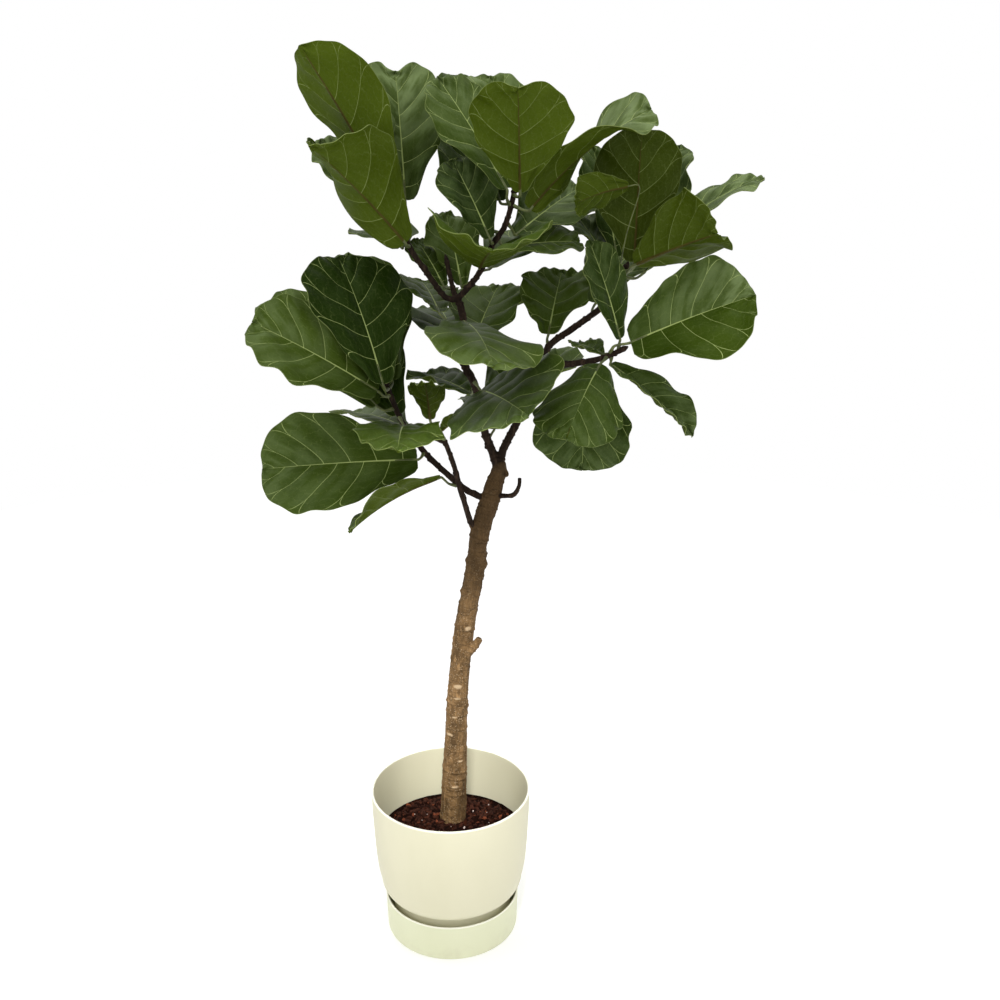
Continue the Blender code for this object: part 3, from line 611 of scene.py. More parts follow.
# radius as a share of the rim's and height as a share of the pot's, up its side
POT_SIDE = ((0.9051, 0.3711), (0.9458, 0.4811), (0.9729, 0.6357), (0.9912, 0.8247))
MIDDLE = 0.012                  # radius of the small disc that closes a turned body
INSIDE_CORNER = 0.012           # radius inside the pot, where its wall meets its floor
SMALL_CORNER = 0.004            # of the tray's corners, and of the slope under the pot's floor
DRAIN_HOLES, DRAIN_RADIUS, DRAIN_RING = 6, 0.006, 0.065     # and the radius of the ring they lie on
NOTCHES, NOTCH_WIDTH, NOTCH_HEIGHT = 4, 0.016, 0.010        # where water passes under the foot ring
POT_DUST, TRAY_DUST = (0.12, 0.10), (0.05, 0.18)            # up to what height, and how much


def turned(name, section, sides):
    """A round body, drawn out ring by ring along its section of (radius, height) points and closed."""
    radius, height = section[0]
    bpy.ops.mesh.primitive_circle_add(vertices=sides, radius=radius, fill_type="NOTHING",
                                      location=(0, 0, height))
    body = settle(fresh(name))
    bpy.ops.object.mode_set(mode="EDIT")
    bpy.ops.mesh.select_all(action="SELECT")
    for (r0, z0), (r1, z1) in zip(section, section[1:]):
        bpy.ops.mesh.extrude_region()
        bpy.ops.transform.translate(value=(0, 0, z1 - z0))
        bpy.ops.transform.resize(value=(r1 / r0, r1 / r0, 1), center_override=(0, 0, z1))
    bpy.ops.mesh.edge_face_add()
    bpy.ops.mesh.select_all(action="DESELECT")
    bpy.ops.mesh.select_mode(type="EDGE")
    bpy.ops.mesh.select_non_manifold()
    bpy.ops.mesh.edge_face_add()
    bpy.ops.mesh.select_all(action="SELECT")
    bpy.ops.mesh.normals_make_consistent(inside=False)
    bpy.ops.mesh.select_mode(type="VERT")
    bpy.ops.object.mode_set(mode="OBJECT")
    return body


def curve_through(points, steps):
    """A Catmull-Rom curve through points of any number of values."""
    points = [np.asarray(point, float) for point in points]
    found = []
    for i in range(len(points) - 1):
        a, b = points[max(i - 1, 0)], points[i]
        c, d = points[i + 1], points[min(i + 2, len(points) - 1)]
        for k in range(steps):
            t = k / steps
            found.append(0.5 * (2 * b + (c - a) * t + (2 * a - 5 * b + 4 * c - d) * t * t
                                + (3 * b - a - 3 * c + d) * t ** 3))
    found.append(points[-1])
    return found


def arc(centre, radius, start, end, steps):
    """Points of (radius, height) along an arc between two angles in degrees."""
    turns = [math.radians(start + (end - start) * i / steps) for i in range(steps + 1)]
    return [(centre[0] + radius * math.cos(turn), centre[1] + radius * math.sin(turn)) for turn in turns]


def rim_lip(rim, top, wall):
    """The half round lip over a wall, from its outside to its inside."""
    return arc((rim - wall / 2, top - wall / 2), wall / 2, 0, 180, 8)


def pot_section(s):
    """The pot's section: under its floor, down and up its foot ring, up its side, over and down inside."""
    rim, top = POT_HIGH.x, POT_HIGH.z
    under = s.floor - s.wall
    inner_neck = s.neck_radius - s.wall
    side = [(rim * r, top * z) for r, z in POT_SIDE] + [(rim, top - s.wall / 2)]
    waist_radius, waist_height = side[0]
    shoulder = [(s.neck_radius + (waist_radius - s.neck_radius) * math.sin(math.radians(angle)),
                 waist_height - (waist_height - s.neck_top) * math.cos(math.radians(angle)))
                for angle in range(8, 86, 7)]
    outside = [tuple(point) for point in curve_through(side, 5)]
    inside = [(r - s.wall, z) for r, z in reversed(curve_through(side[1:], 5))][1:]
    corner = arc((waist_radius - s.wall - INSIDE_CORNER, s.floor + INSIDE_CORNER), INSIDE_CORNER, 0, -90, 6)
    return ([(MIDDLE, under), (inner_neck - SMALL_CORNER, under), (inner_neck, under - SMALL_CORNER),
             (inner_neck, POT_LOW.z), (s.neck_radius, POT_LOW.z), (s.neck_radius, s.neck_top)]
            + shoulder + outside + rim_lip(rim, top, s.wall)[1:] + inside + corner + [(MIDDLE, s.floor)])


def tray_section(s):
    """The tray's section: out along its foot, up to its lip and back in along its floor."""
    inner = s.tray_foot - s.tray_wall
    foot = arc((s.tray_foot - SMALL_CORNER, SMALL_CORNER), SMALL_CORNER, -90, 0, 6)
    inside = arc((inner - SMALL_CORNER, s.tray_floor + SMALL_CORNER), SMALL_CORNER, 0, -90, 5)
    return ([(MIDDLE, 0.0)] + foot + rim_lip(TRAY_HIGH.x, TRAY_HIGH.z, s.tray_wall) + inside
            + [(MIDDLE, s.tray_floor)])


def cut_away(body, cutter):
    apply_modifier(body, "BOOLEAN", operation="DIFFERENCE", object=cutter, solver="EXACT")
    bpy.data.objects.remove(cutter)


def ring_places(count, radius):
    """The turn and the place of each of some pieces set round the pot's axis."""
    turns = [math.tau * (i + 0.5) / count for i in range(count)]
    return [(turn, radius * math.cos(turn), radius * math.sin(turn)) for turn in turns]


class FIG_OT_pot(Operator):
    """Turn the pot, with its drain holes and the water passages in its foot"""
    bl_idname = "fig.pot"
    bl_label = "Pot"

    def execute(self, context):
        s = context.scene.fig_pot
        pot = turned("planter", pot_section(s), s.sides)
        for _, x, y in ring_places(DRAIN_HOLES, DRAIN_RING):
            bpy.ops.mesh.primitive_cylinder_add(vertices=24, radius=DRAIN_RADIUS, depth=4 * s.wall,
                                                location=(x, y, s.floor))
            cut_away(pot, settle(fresh("drain_cutter")))
        for turn, x, y in ring_places(NOTCHES, s.neck_radius - s.wall / 2):
            bpy.ops.mesh.primitive_cube_add(size=1, scale=(6 * s.wall, NOTCH_WIDTH, 2 * NOTCH_HEIGHT),
                                            rotation=(0, 0, turn), location=(x, y, POT_LOW.z))
            cut_away(pot, settle(fresh("notch_cutter")))
        smooth(pot)
        plastic = plastic_material("cream_pot", s.pot_colour, *POT_DUST, POT_HIGH.z)
        hand_over(pot, "pot_plastic", [plastic], "pot")
        return {"FINISHED"}


class FIG_OT_tray(Operator):
    """Turn the deep water tray that the pot stands in"""
    bl_idname = "fig.tray"
    bl_label = "Water tray"

    def execute(self, context):
        s = context.scene.fig_pot
        tray = turned("saucer", tray_section(s), s.sides)
        smooth(tray)
        plastic = plastic_material("cream_tray", s.tray_colour, *TRAY_DUST, TRAY_HIGH.z)
        hand_over(tray, "tray_plastic", [plastic], "water_tray")
        return {"FINISHED"}


# ---------------------------------------------------------------- potting mix

WALL_FADE = 0.006               # the lumps fade out this near to the wall
TOP_SHARE = 0.6                 # what lies above this share of the pot's height is the mix's surface
LUMP_SEED, CHIP_SEED, GRAIN_SEED = 3.7, 5, 23
CHIP_SIZES = (0.55, 1.45)       # as shares of a middling chip
GRAIN_SIZES = (0.0025, 0.0048)
TRUNK_CLEARANCE = 0.0265        # no chips lie within this of the trunk's middle
TRUNK_FOOT = 0.20               # height at which that middle is taken


def lumpy(point, seed):
    """Lumps of two sizes, about -1 to 1."""
    return (noise.noise(point * 85 + Vector((seed, 0, 0)))
            + 0.6 * noise.noise(point * 190 + Vector((0, seed, 0))))


class FIG_OT_mix(Operator):
    """Make the potting mix lumpy, and sunk beside the wall"""
    bl_idname = "fig.mix"
    bl_label = "Potting mix"

    def execute(self, context):
        s = context.scene.fig_mix
        bed = joined_copy("potting_mix", "mix_bed")
        apply_modifier(bed, "REMESH", mode="VOXEL", voxel_size=s.voxel)
        points, normals = read_points(bed), read_points(bed, "normal")
        gap = MIX_RADIUS - np.hypot(points[:, 0], points[:, 1])
        upward = np.clip((normals[:, 2] - 0.4) / 0.4, 0, 1) * (points[:, 2] > POT_HIGH.z * TOP_SHARE)
        lift = np.array([lumpy(Vector(point), LUMP_SEED) for point in points])
        points[:, 2] += s.lump * lift * np.clip(gap / WALL_FADE, 0, 1) * upward
        points[:, 2] -= s.sink * eased(1 - gap / s.sink_width) * upward
        move_points(bed, points)
        smooth(bed, 180)
        hand_over(bed, "potting_mix", [mix_material(s)], "potting_mix")
        return {"FINISHED"}


def scatter(name, template, count, seed, sizes, flatness, share_sunk):
    """Copies of a small template lying over the mix, as one object, each with its own shade."""
    rng = random.Random(seed)
    surface = search_tree(bpy.data.objects["mix_bed"])
    trunk_x, trunk_y, _ = stem_at(TRUNK_FOOT)
    shape = read_points(template)
    faces = [tuple(polygon.vertices) for polygon in template.data.polygons]
    all_points, all_faces, shades = [], [], []
    for _ in range(count):
        size = rng.uniform(*sizes) * (0.7 + 0.6 * rng.random() ** 2)
        while True:
            x, y = rng.uniform(-MIX_RADIUS, MIX_RADIUS), rng.uniform(-MIX_RADIUS, MIX_RADIUS)
            if (math.hypot(x, y) < MIX_RADIUS - 0.4 * size
                    and math.hypot(x - trunk_x, y - trunk_y) > TRUNK_CLEARANCE):
                break
        hit = surface.ray_cast(Vector((x, y, POT_HIGH.z)), Vector((0, 0, -1)))[0]
        if hit is None:
            continue
        jitter = np.array([[rng.uniform(0.75, 1.25) for _ in range(3)] for _ in shape])
        body = shape * jitter * np.array([size, size * rng.uniform(0.22, 0.60),
                                          size * rng.uniform(*flatness)]) / 2
        a, b, c = rng.uniform(0, math.tau), rng.gauss(0, 0.45), rng.gauss(0, 0.45)
        spin = np.array([[math.cos(a), -math.sin(a), 0], [math.sin(a), math.cos(a), 0], [0, 0, 1]])
        tilt = Vector((0, 0, 1)).rotation_difference(Vector((b, c, 1)).normalized()).to_matrix()
        body = (body @ (np.array(tilt) @ spin).T + np.array(hit)
                + np.array([0, 0, size * (0.25 - share_sunk * rng.random())]))
        first = len(all_points)
        all_points.extend(map(tuple, body))
        all_faces.extend(tuple(first + i for i in face) for face in faces)
        shades.extend([rng.random()] * len(body))
    mesh = bpy.data.meshes.new(name)
    mesh.from_pydata(all_points, [], all_faces)
    heap = link_new(name, mesh)
    keep_number(heap, "shade", shades)
    bpy.data.objects.remove(template)
    return heap


class FIG_OT_chips(Operator):
    """Scatter bark chips and pale grains over the mix"""
    bl_idname = "fig.chips"
    bl_label = "Bark chips"

    def execute(self, context):
        s = context.scene.fig_mix
        bpy.ops.mesh.primitive_ico_sphere_add(subdivisions=1, radius=1.0, location=(0, 0, 0))
        sizes = [share * s.chip_size for share in CHIP_SIZES]
        chips = scatter("bark_chips", settle(fresh("chip")), s.chips, CHIP_SEED, sizes, (0.25, 0.6), 0.35)
        hand_over(chips, "potting_mix", [chip_material(s)])
        bpy.ops.mesh.primitive_ico_sphere_add(subdivisions=2, radius=1.0, location=(0, 0, 0))
        grains = scatter("perlite_grains", settle(fresh("grain")), s.grains, GRAIN_SEED, GRAIN_SIZES,
                         (0.6, 0.95), 0.2)
        hand_over(grains, "potting_mix", [grain_material()])
        return {"FINISHED"}


# ---------------------------------------------------------------- wood

# height, bearing in degrees (0 right, -90 front), width, height and lift of each mark on the trunk;
# scars are pale, and knobs have the bark's colour
SCARS = (
    (0.624, -96, 0.0065, 0.0045, 0.0010), (0.480, -92, 0.0075, 0.0022, 0.0012),
    (0.505, -85, 0.0085, 0.0050, 0.0010), (0.402, -125, 0.0080, 0.0028, 0.0014),
    (0.292, -85, 0.0075, 0.0026, 0.0016), (0.440, -100, 0.0060, 0.0022, 0.0010),
    (0.345, -60, 0.0060, 0.0022, 0.0012), (0.480, 60, 0.0070, 0.0030, 0.0012),
    (0.570, 150, 0.0075, 0.0035, 0.0014), (0.360, 110, 0.0070, 0.0030, 0.0012),
)
KNOBS = (
    (0.742, -5, 0.0095, 0.0085, 0.0052), (0.722, -25, 0.0100, 0.0060, 0.0030),
    (0.690, 180, 0.0060, 0.0070, 0.0030), (0.562, 178, 0.0055, 0.0080, 0.0030),
    (0.655, 0, 0.0045, 0.0050, 0.0022), (0.750, 182, 0.0060, 0.0060, 0.0034),
    (0.455, 0, 0.0045, 0.0045, 0.0020), (0.470, 185, 0.0040, 0.0050, 0.0016),
    (0.762, 5, 0.0030, 0.0030, 0.0026), (0.740, 120, 0.0060, 0.0060, 0.0024),
    (0.530, 80, 0.0060, 0.0060, 0.0022),
)
FORK = (0.090, -0.003, 0.910)   # where the trunk parts into branches; rings are spaced out from it
RING_START, RING_END = 0.012, 0.80      # how far from the fork the rings start and end
RING_HALF, GROOVE_HALF, GROOVE_GAP = 0.0016, 0.0012, 0.0032     # each has a shallow groove beyond it
BUDS = 70                       # places tried for small buds, which only thin high wood keeps
BUD_GIRTH, BUD_HEIGHT = 0.010, 0.80
GIRTH_RANGE = (0.002, 0.03)
WOOD_SEED = 31


def stem_at(height):
    """Middle of the trunk at a height below its first branch."""
    points = read_points(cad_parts["trunk_and_branches"])
    near = points[np.abs(points[:, 2] - height) < 0.04]
    return near.mean(0)


def evened(thing, values, rounds):
    """Average a number over neighbouring points."""
    ends = np.empty(len(thing.data.edges) * 2, np.int64)
    thing.data.edges.foreach_get("vertices", ends)
    a, b = ends.reshape(-1, 2).T
    count = np.bincount(a, minlength=len(values)) + np.bincount(b, minlength=len(values)) + 1
    for _ in range(rounds):
        total = values + np.bincount(a, values[b], len(values)) + np.bincount(b, values[a], len(values))
        values = total / count
    return values


def wood_girth(wood, tree, points, normals):
    """Radius of the wood at each point, from a ray through it."""
    girth = np.full(len(points), 0.02)
    for i, (point, normal) in enumerate(zip(points, normals)):
        through = tree.ray_cast(Vector(point - normal * 0.0006), Vector(-normal), 0.06)
        if through[0] is not None:
            girth[i] = through[3] / 2
    return evened(wood, np.clip(girth, *GIRTH_RANGE), 6)


def bark_relief(points, girth, s):
    """Lift of the bark at each point, and how deep in a furrow it is."""
    reach = np.linalg.norm(points - np.array(FORK), axis=1)
    thick = np.clip((girth - 0.006) / 0.010, 0, 1)
    lift = np.zeros(len(points))
    furrows = np.zeros(len(points))
    for i, (x, y, z) in enumerate(points):
        ridge = 1 - abs(noise.noise(Vector((x * 150, y * 150, z * 42)))) * 2.2
        fine = noise.noise(Vector((x, y, z)) * 320)
        coarse = noise.noise(Vector((x, y, z)) * 60)
        furrows[i] = max(0.0, ridge - 0.62) * 2.2 * thick[i]
        lift[i] = s.furrow * ((0.25 * fine + 0.9 * coarse) * (0.35 + 0.65 * thick[i]) - furrows[i])
    rng = random.Random(WOOD_SEED)
    place = RING_START
    while place < RING_END:
        spacing = rng.uniform(0.010, 0.030)
        strength = s.ring * rng.uniform(0.4, 1.3)
        lift += strength * np.exp(-((reach - place) / RING_HALF) ** 2)
        lift -= 0.5 * strength * np.exp(-((reach - place - GROOVE_GAP) / GROOVE_HALF) ** 2)
        place += spacing
    for _ in range(BUDS):
        i = rng.randrange(len(points))
        if girth[i] > BUD_GIRTH or points[i, 2] < BUD_HEIGHT:
            continue
        size = rng.uniform(0.0024, 0.0042)
        far = np.linalg.norm(points - points[i], axis=1) / size
        lift += rng.uniform(0.0010, 0.0026) * np.exp(-far ** 2)
    return lift, furrows


def mark_relief(tree, points, marks):
    """Lift of some marks on the trunk at each point, and how much of a mark is there."""
    lift, share = np.zeros(len(points)), np.zeros(len(points))
    for height, bearing, wide, tall, rise in marks:
        middle = stem_at(height)
        way = Vector((math.cos(math.radians(bearing)), math.sin(math.radians(bearing)), 0))
        start = Vector((middle[0], middle[1], height)) + way * 0.2
        away = points - np.array(tree.ray_cast(start, -way)[0])
        level = np.hypot(away[:, 0], away[:, 1]) / wide
        far = level ** 2 + (away[:, 2] / tall) ** 2
        lift += rise * np.exp(-far * 1.2)
        share = np.maximum(share, np.clip(1.6 - 1.5 * far, 0, 1))
    return lift, share


class FIG_OT_wood(Operator):
    """Cover the trunk and branches with furrowed bark, rings, knobs and scars"""
    bl_idname = "fig.wood"
    bl_label = "Wood"

    def execute(self, context):
        s = context.scene.fig_wood
        wood = joined_copy("trunk_and_branches", "bark_wood")
        apply_modifier(wood, "REMESH", mode="VOXEL", voxel_size=s.voxel)
        apply_modifier(wood, "SMOOTH", factor=0.5, iterations=2)
        points, normals = read_points(wood), read_points(wood, "normal")
        tree = search_tree(wood)
        girth = wood_girth(wood, tree, points, normals)
        lift, furrows = bark_relief(points, girth, s)
        scar_lift, scarred = mark_relief(tree, points, SCARS)
        knob_lift, _ = mark_relief(tree, points, KNOBS)
        move_points(wood, points + normals * (lift + scar_lift + knob_lift)[:, None])
        keep_number(wood, "girth", girth)
        keep_number(wood, "furrow", np.clip(furrows, 0, 1))
        keep_number(wood, "scar", scarred)
        smooth(wood, 180)
        hand_over(wood, "bark", [bark_material(s)], "trunk_and_branches")
        return {"FINISHED"}


# ---------------------------------------------------------------- leaves

# how a solid leaf is made: rings of points, first round its petiole and then across its blade
RING = 8                        # points in a ring
PETIOLE_RINGS = 3
STATIONS = (0.03, 0.11, 0.23, 0.36, 0.50, 0.64, 0.77, 0.88, 0.96)   # where the rings cross the blade
SOLID_THICKNESS = 0.0010
LOWER_OVAL = (0.19, 0.22, 0.55) # middle, half length and half width of a blade's small lower part
UPPER_OVAL = (0.64, 0.36, 1.0)  # and of its broad upper part
OUTLINE_SHARE = 0.985           # a ring is as wide as the outline at this share of its station
BROAD_RINGS = slice(2, 7)       # the rings that a blade's half width is taken from

# how a fine blade is made: rows from base to tip, and columns from the midrib out to each margin
LOBE_OVAL = (0.16, 0.19)        # middle and half length of the small lobe at a fine blade's foot
LOBE_HALF = 0.34                # its half width, where LOBES gives no other
WEDGE_LENGTH, WEDGE_POWER = 0.60, 1.15  # of the wedge that swells from the lobe to the broad top
CELL_ROWS = (0.0, 0.05, 0.14, 0.25, 0.36, 0.45, 0.5, 0.55, 0.64, 0.75, 0.86, 0.95)  # from rib to rib
RIB_COLUMNS = (0.0, 0.0008, 0.0022)     # metres from the midrib, halfway along the blade
COLUMNS = (0.07, 0.15, 0.24, 0.34, 0.44, 0.54, 0.64, 0.73, 0.81, 0.88, 0.94, 0.98, 1.0)     # shares beyond
LEAN = 0.20                     # how far forward the side ribs reach the margin
GROOVE = 0.0006                 # depth of the midrib's groove above
RIB_LIFT = 0.0006               # how far the side ribs stand out below
STALK_REACH = 0.0035            # how far a petiole reaches into the wood
STALK_DROP = 0.0012             # how far below the blade a petiole runs on under it
STALK_RUN = (0.0, 0.06, 0.14)   # places along the blade where it does
STALK_WIDTHS = (1.55, 1.45, 0.95, 0.95, 1.0, 0.85, 0.45)    # its radius from foot to end, as shares
BEND_POINTS = 4                 # points of a petiole between two of those
LEAF_SEED = 17                  # for the tones and sheens that the tables below leave out

# how fresh a top is, from 0, deep green, to 1, fresh green: partly the leaf's own green, and partly painted
# shade for leaves that lie deep in the crown
TONES_AND_SHADE = {
    "low_left_1": 0.58, "low_left_3": 0.70, "low_left_4": 0.00, "low_left_5": 0.78, "low_left_6": 0.00,
    "low_left_7": 0.75, "low_left_8": 0.75, "low_left_9": 0.75, "low_left_2": 0.70, "middle_1": 0.85,
    "middle_2": 0.85, "middle_3": 0.50, "right_1": 1.00, "low_right_2": 0.66, "low_right_3": 0.60,
    "low_right_4": 0.30, "low_right_5": 0.45, "upper_left_5": 0.60, "upper_left_4": 0.55,
    "upper_left_3": 1.00, "upper_left_6": 0.60, "upper_left_1": 0.75, "top_1": 0.80, "top_2": 0.70,
    "top_3": 0.58, "top_4": 0.70, "top_6": 0.25, "top_7": 0.85, "top_8": 0.75, "top_9": 0.25,
    "top_10": 0.10, "right_2": 0.15, "right_3": 0.60, "right_4": 0.50, "right_7": 0.25,
}
# how much painted sheen a top has, from 0 to 1, or each of its left and right halves: grey-green reflection
# painted into its colour
PAINTED_SHEENS = {
    "low_right_2": (0.62, 0.00), "middle_3": (0.18, 0.30),
    "upper_left_5": 0.80, "upper_left_6": 1.00, "upper_left_4": 0.55, "top_8": 0.75, "top_9": 0.60,
    "top_3": 0.27, "top_4": 0.50, "top_2": 0.25, "right_5": 0.45, "right_6": 0.70, "low_left_1": 0.27,
    "low_left_5": 0.32, "middle_1": 0.35, "low_left_4": 0.03, "low_left_6": 0.03,
    "middle_2": 0.22, "low_right_3": 0.20, "low_right_5": 0.35, "right_1": 0.30,
}
# depth of the notch at the tip, as a share of the blade's length
NOTCHED = {"upper_left_5": 0.10, "top_7": 0.085, "low_left_4": 0.02, "low_right_3": 0.03,
           "low_right_2": 0.0, "low_left_1": 0.03, "middle_1": 0.02, "top_4": 0.05, "right_2": 0.03}
# half width of the lobe at the foot, as a share of the blade's
LOBES = {"low_right_2": 0.48, "low_left_1": 0.40, "low_left_5": 0.40, "middle_1": 0.46, "low_right_3": 0.44,
         "top_7": 0.24, "low_left_4": 0.30, "middle_3": 0.42}
SLENDER = {"right_3": 0.45}     # petioles that are thinner than the rest, as shares


def unit(vector):
    return vector / np.linalg.norm(vector)


def solid_rings(node):
    """A solid leaf's rings of points, from its petiole's foot towards its tip, and the tip."""
    thing = joined_copy(node, "reading")
    points = read_points(thing)
    beside = [set() for _ in points]
    for edge in thing.data.edges:
        a, b = edge.vertices
        beside[a].add(b)
        beside[b].add(a)
    bpy.data.objects.remove(thing)
    count = PETIOLE_RINGS + len(STATIONS)
    for start in range(len(points)):
        layers, seen = [{start}], {start}
        while True:
            layer = set().union(*(beside[i] for i in layers[-1])) - seen
            if len(layer) != RING:
                break
            layers.append(layer)
            seen |= layer
        if len(layers) == count + 1:
            break
    else:
        raise RuntimeError(f"{node} isn't made of {count} rings of {RING} points")
    tip = points[start]
    layers = layers[:0:-1]
    centres = [points[list(layer)].mean(0) for layer in layers] + [tip]
    rings = []
    for k, layer in enumerate(layers):
        ring = points[round_order(points, layer, beside, centres[k], open_face=k == 0)]
        middle = centres[k]
        turn = sum(np.cross(ring[i] - middle, ring[(i + 1) % RING] - middle) for i in range(RING))
        if turn @ (centres[k + 1] - middle) < 0:
            ring = ring[::-1]
        if k < PETIOLE_RINGS:           # the groove marks the top, point 2
            top = int(np.argmin(np.linalg.norm(ring - middle, axis=1)))
            ring = np.roll(ring, 2 - top, axis=0)
        else:                           # points 0 and 4 are the blade's two edges
            first = int(np.argmax([np.linalg.norm(ring[i] - ring[i + 4]) for i in range(4)]))
            ring = np.roll(ring, -first, axis=0)
            if (ring[4] - ring[0]) @ (rings[-1][4] - rings[-1][0]) < 0:
                ring = np.roll(ring, 4, axis=0)
        rings.append(ring)
    return rings, tip


def round_order(points, layer, beside, middle, open_face):
    """A ring's points in order round it."""
    layer = list(layer)
    if open_face:
        spokes = points[layer] - middle
        axes = np.linalg.svd(spokes)[2][:2]
        turns = np.arctan2(spokes @ axes[1], spokes @ axes[0])
        return [layer[i] for i in np.argsort(turns)]
    order = [layer[0]]
    while len(order) < RING:
        order.append(next(i for i in beside[order[-1]] if i in layer and i not in order))
    return order


def along(knots, values, places):
    """Smooth values between knots, at places along them."""
    knots, values = np.asarray(knots, float), np.asarray(values, float)
    if values.ndim == 1:
        return along(knots, values[:, None], places)[:, 0]
    slopes = np.gradient(values, knots, axis=0)
    places = np.clip(places, knots[0], knots[-1])
    i = np.clip(np.searchsorted(knots, places, side="right") - 1, 0, len(knots) - 2)
    width = (knots[i + 1] - knots[i])[:, None]
    t = ((places - knots[i])[:, None]) / width
    return ((1 + 2 * t) * (1 - t) ** 2 * values[i] + t * (1 - t) ** 2 * width * slopes[i]
            + t * t * (3 - 2 * t) * values[i + 1] + t * t * (t - 1) * width * slopes[i + 1])


def oval(s, middle, half_length, half_width):
    return half_width * np.sqrt(np.maximum(0.0, 1 - ((s - middle) / half_length) ** 2))


def outline(s):
    return (oval(s, *LOWER_OVAL) ** 4 + oval(s, *UPPER_OVAL) ** 4) ** 0.25


def fine_outline(s, lobe):
    """Half width of a fine blade: a wedge that swells to a broad top, with a small lobe at its foot."""
    middle = UPPER_OVAL[0]
    wedge = np.clip(1 - ((middle - s) / WEDGE_LENGTH) ** 2, 0, 1) ** WEDGE_POWER
    broad = np.where(s < middle, wedge, oval(s, *UPPER_OVAL))
    return (oval(s, *LOBE_OVAL, lobe) ** 3 + broad ** 3) ** (1 / 3)


class BladeForm:
    """The bent sheet of one solid leaf: where a point lies that is s along it and w out from its midrib."""

    def __init__(self, node):
        rings, tip = solid_rings(node)
        self.petiole = [ring.mean(0) for ring in rings[:PETIOLE_RINGS]]
        middle, up, slopes, bends, reaches = [], [], ([], []), ([], []), ([], [])
        for ring in rings[PETIOLE_RINGS:]:
            normal = unit(ring[2] - ring[6])
            point = ring[2] - normal * SOLID_THICKNESS / 2
            middle.append(point)
            up.append(normal)
            for side, (edge, above, below) in enumerate(((0, 1, 7), (4, 3, 5))):
                half_way = (ring[above] + ring[below]) / 2 - point
                out = ring[edge] - point
                reach = np.linalg.norm(half_way) + np.linalg.norm(out - half_way)
                bend = (out - 2 * half_way) / (reach ** 2 / 2)
                slopes[side].append((half_way - bend * reach ** 2 / 4) / (reach / 2))
                bends[side].append(bend)
                reaches[side].append(reach)
        first = middle[0] - (middle[1] - middle[0]) * STATIONS[0] / (STATIONS[1] - STATIONS[0])
        self.knots = (0.0,) + STATIONS + (1.0,)
        self.middle = [first] + middle + [tip]
        self.up = [up[0]] + up + [up[-1]]
        self.slopes = [[side[0]] + side + [side[-1]] for side in slopes]
        self.bends = [[side[0]] + side + [side[-1]] for side in bends]
        widths = np.mean(reaches, axis=0) / outline(np.array(STATIONS) * OUTLINE_SHARE)
        self.half = float(np.median(widths[BROAD_RINGS]))
        self.length = float(np.linalg.norm(np.diff(self.middle, axis=0), axis=1).sum())

    def at(self, s, w, side):
        """Points for arrays of s and w, on side 0, the left, or 1, the right."""
        shape = s.shape
        s, w = s.ravel(), w.ravel()[:, None]
        points = (along(self.knots, self.middle, s) + along(self.knots, self.slopes[side], s) * w
                  + along(self.knots, self.bends[side], s) * w * w)
        return points.reshape(*shape, 3)


def blade_margin(rng, form, scallop, lobe):
    """A blade's margin from base to tip, as (share of length, share of half width), evenly spaced."""
    turns = np.linspace(0.0, math.pi, 181)
    lowest = -0.03
    s = lowest + (1 - lowest) * (1 - np.cos(turns)) / 2
    w = fine_outline(s, lobe)
    s = s - lowest * (1 - eased(w / 0.25)) * (s < 0.3)
    share = np.linspace(0, 1, len(s))
    for waves in (2, 3.3, 5.2, 7.5):
        size = scallop * rng.uniform(0.4, 1.0) / waves ** 0.5
        w = w * (1 + size * np.sin(math.tau * waves * share + rng.uniform(0, math.tau))
                 * np.sin(math.pi * share))
    path = np.stack([s * form.length, w * form.half], axis=1)
    run = np.concatenate([[0], np.cumsum(np.linalg.norm(np.diff(path, axis=0), axis=1))])
    return run / run[-1], s, w


def rib_distance(phase, across):
    """How far a place is from the nearest side rib, 0 on it to 0.5 between two; ribs fork near the margin."""
    away = np.abs((phase + 0.5) % 1.0 - 0.5)
    return np.abs(away - FORK_SPREAD * np.maximum(across - FORK_START, 0.0))


def half_grid(margin, form, rows, lobes, beat):
    """Where the points of one half lie: along the blade, out from the midrib, and as a share of that half."""
    reach = rows + LEAN * np.sin(math.pi * rows)
    run, margin_s, margin_w = margin
    end_s = np.interp(reach, run, margin_s)
    end_w = np.interp(reach, run, margin_w) * form.half
    end_w = end_w * (1 + lobes * beat * np.sin(math.pi * rows))
    taper = (1.25 - rows) * np.clip(end_w / 0.008, 0, 1)
    near = [np.full(len(rows), width) * taper for width in RIB_COLUMNS]
    far = [near[-1] + (end_w - near[-1]) * share for share in COLUMNS]
    out = np.minimum(np.stack(near + far, axis=1), end_w[:, None])
    share = out / np.maximum(end_w[:, None], 1e-6)
    return rows[:, None] + (end_s - rows)[:, None] * share ** 1.3, out, share


def shaped_tip(place, wide, notch, point_out):
    """Places along the blade with its tip notched, or drawn out to a small point."""
    tipward = eased((place - 0.80) / 0.20)
    place = place - notch * np.exp(-(wide / 0.30) ** 2) * tipward
    return place + point_out * np.exp(-(wide / 0.10) ** 2) * tipward


def margin_sway(rng, rows, share, beat, ripple):
    """Waves up and down that grow towards the margin."""
    sway = np.zeros_like(share)
    for waves in (2.6, 4.3, 6.5):
        sway += (ripple / waves ** 0.5 * rng.uniform(0.5, 1.2) * share ** 2.6
                 * np.sin(math.tau * (waves * rows[:, None] + 0.35 * share) + rng.uniform(0, math.tau)))
    sway = sway - 0.20 * ripple * beat[:, None] * share ** 3
    return sway * np.sin(math.pi * np.clip(rows, 0, 1))[:, None] ** 0.5


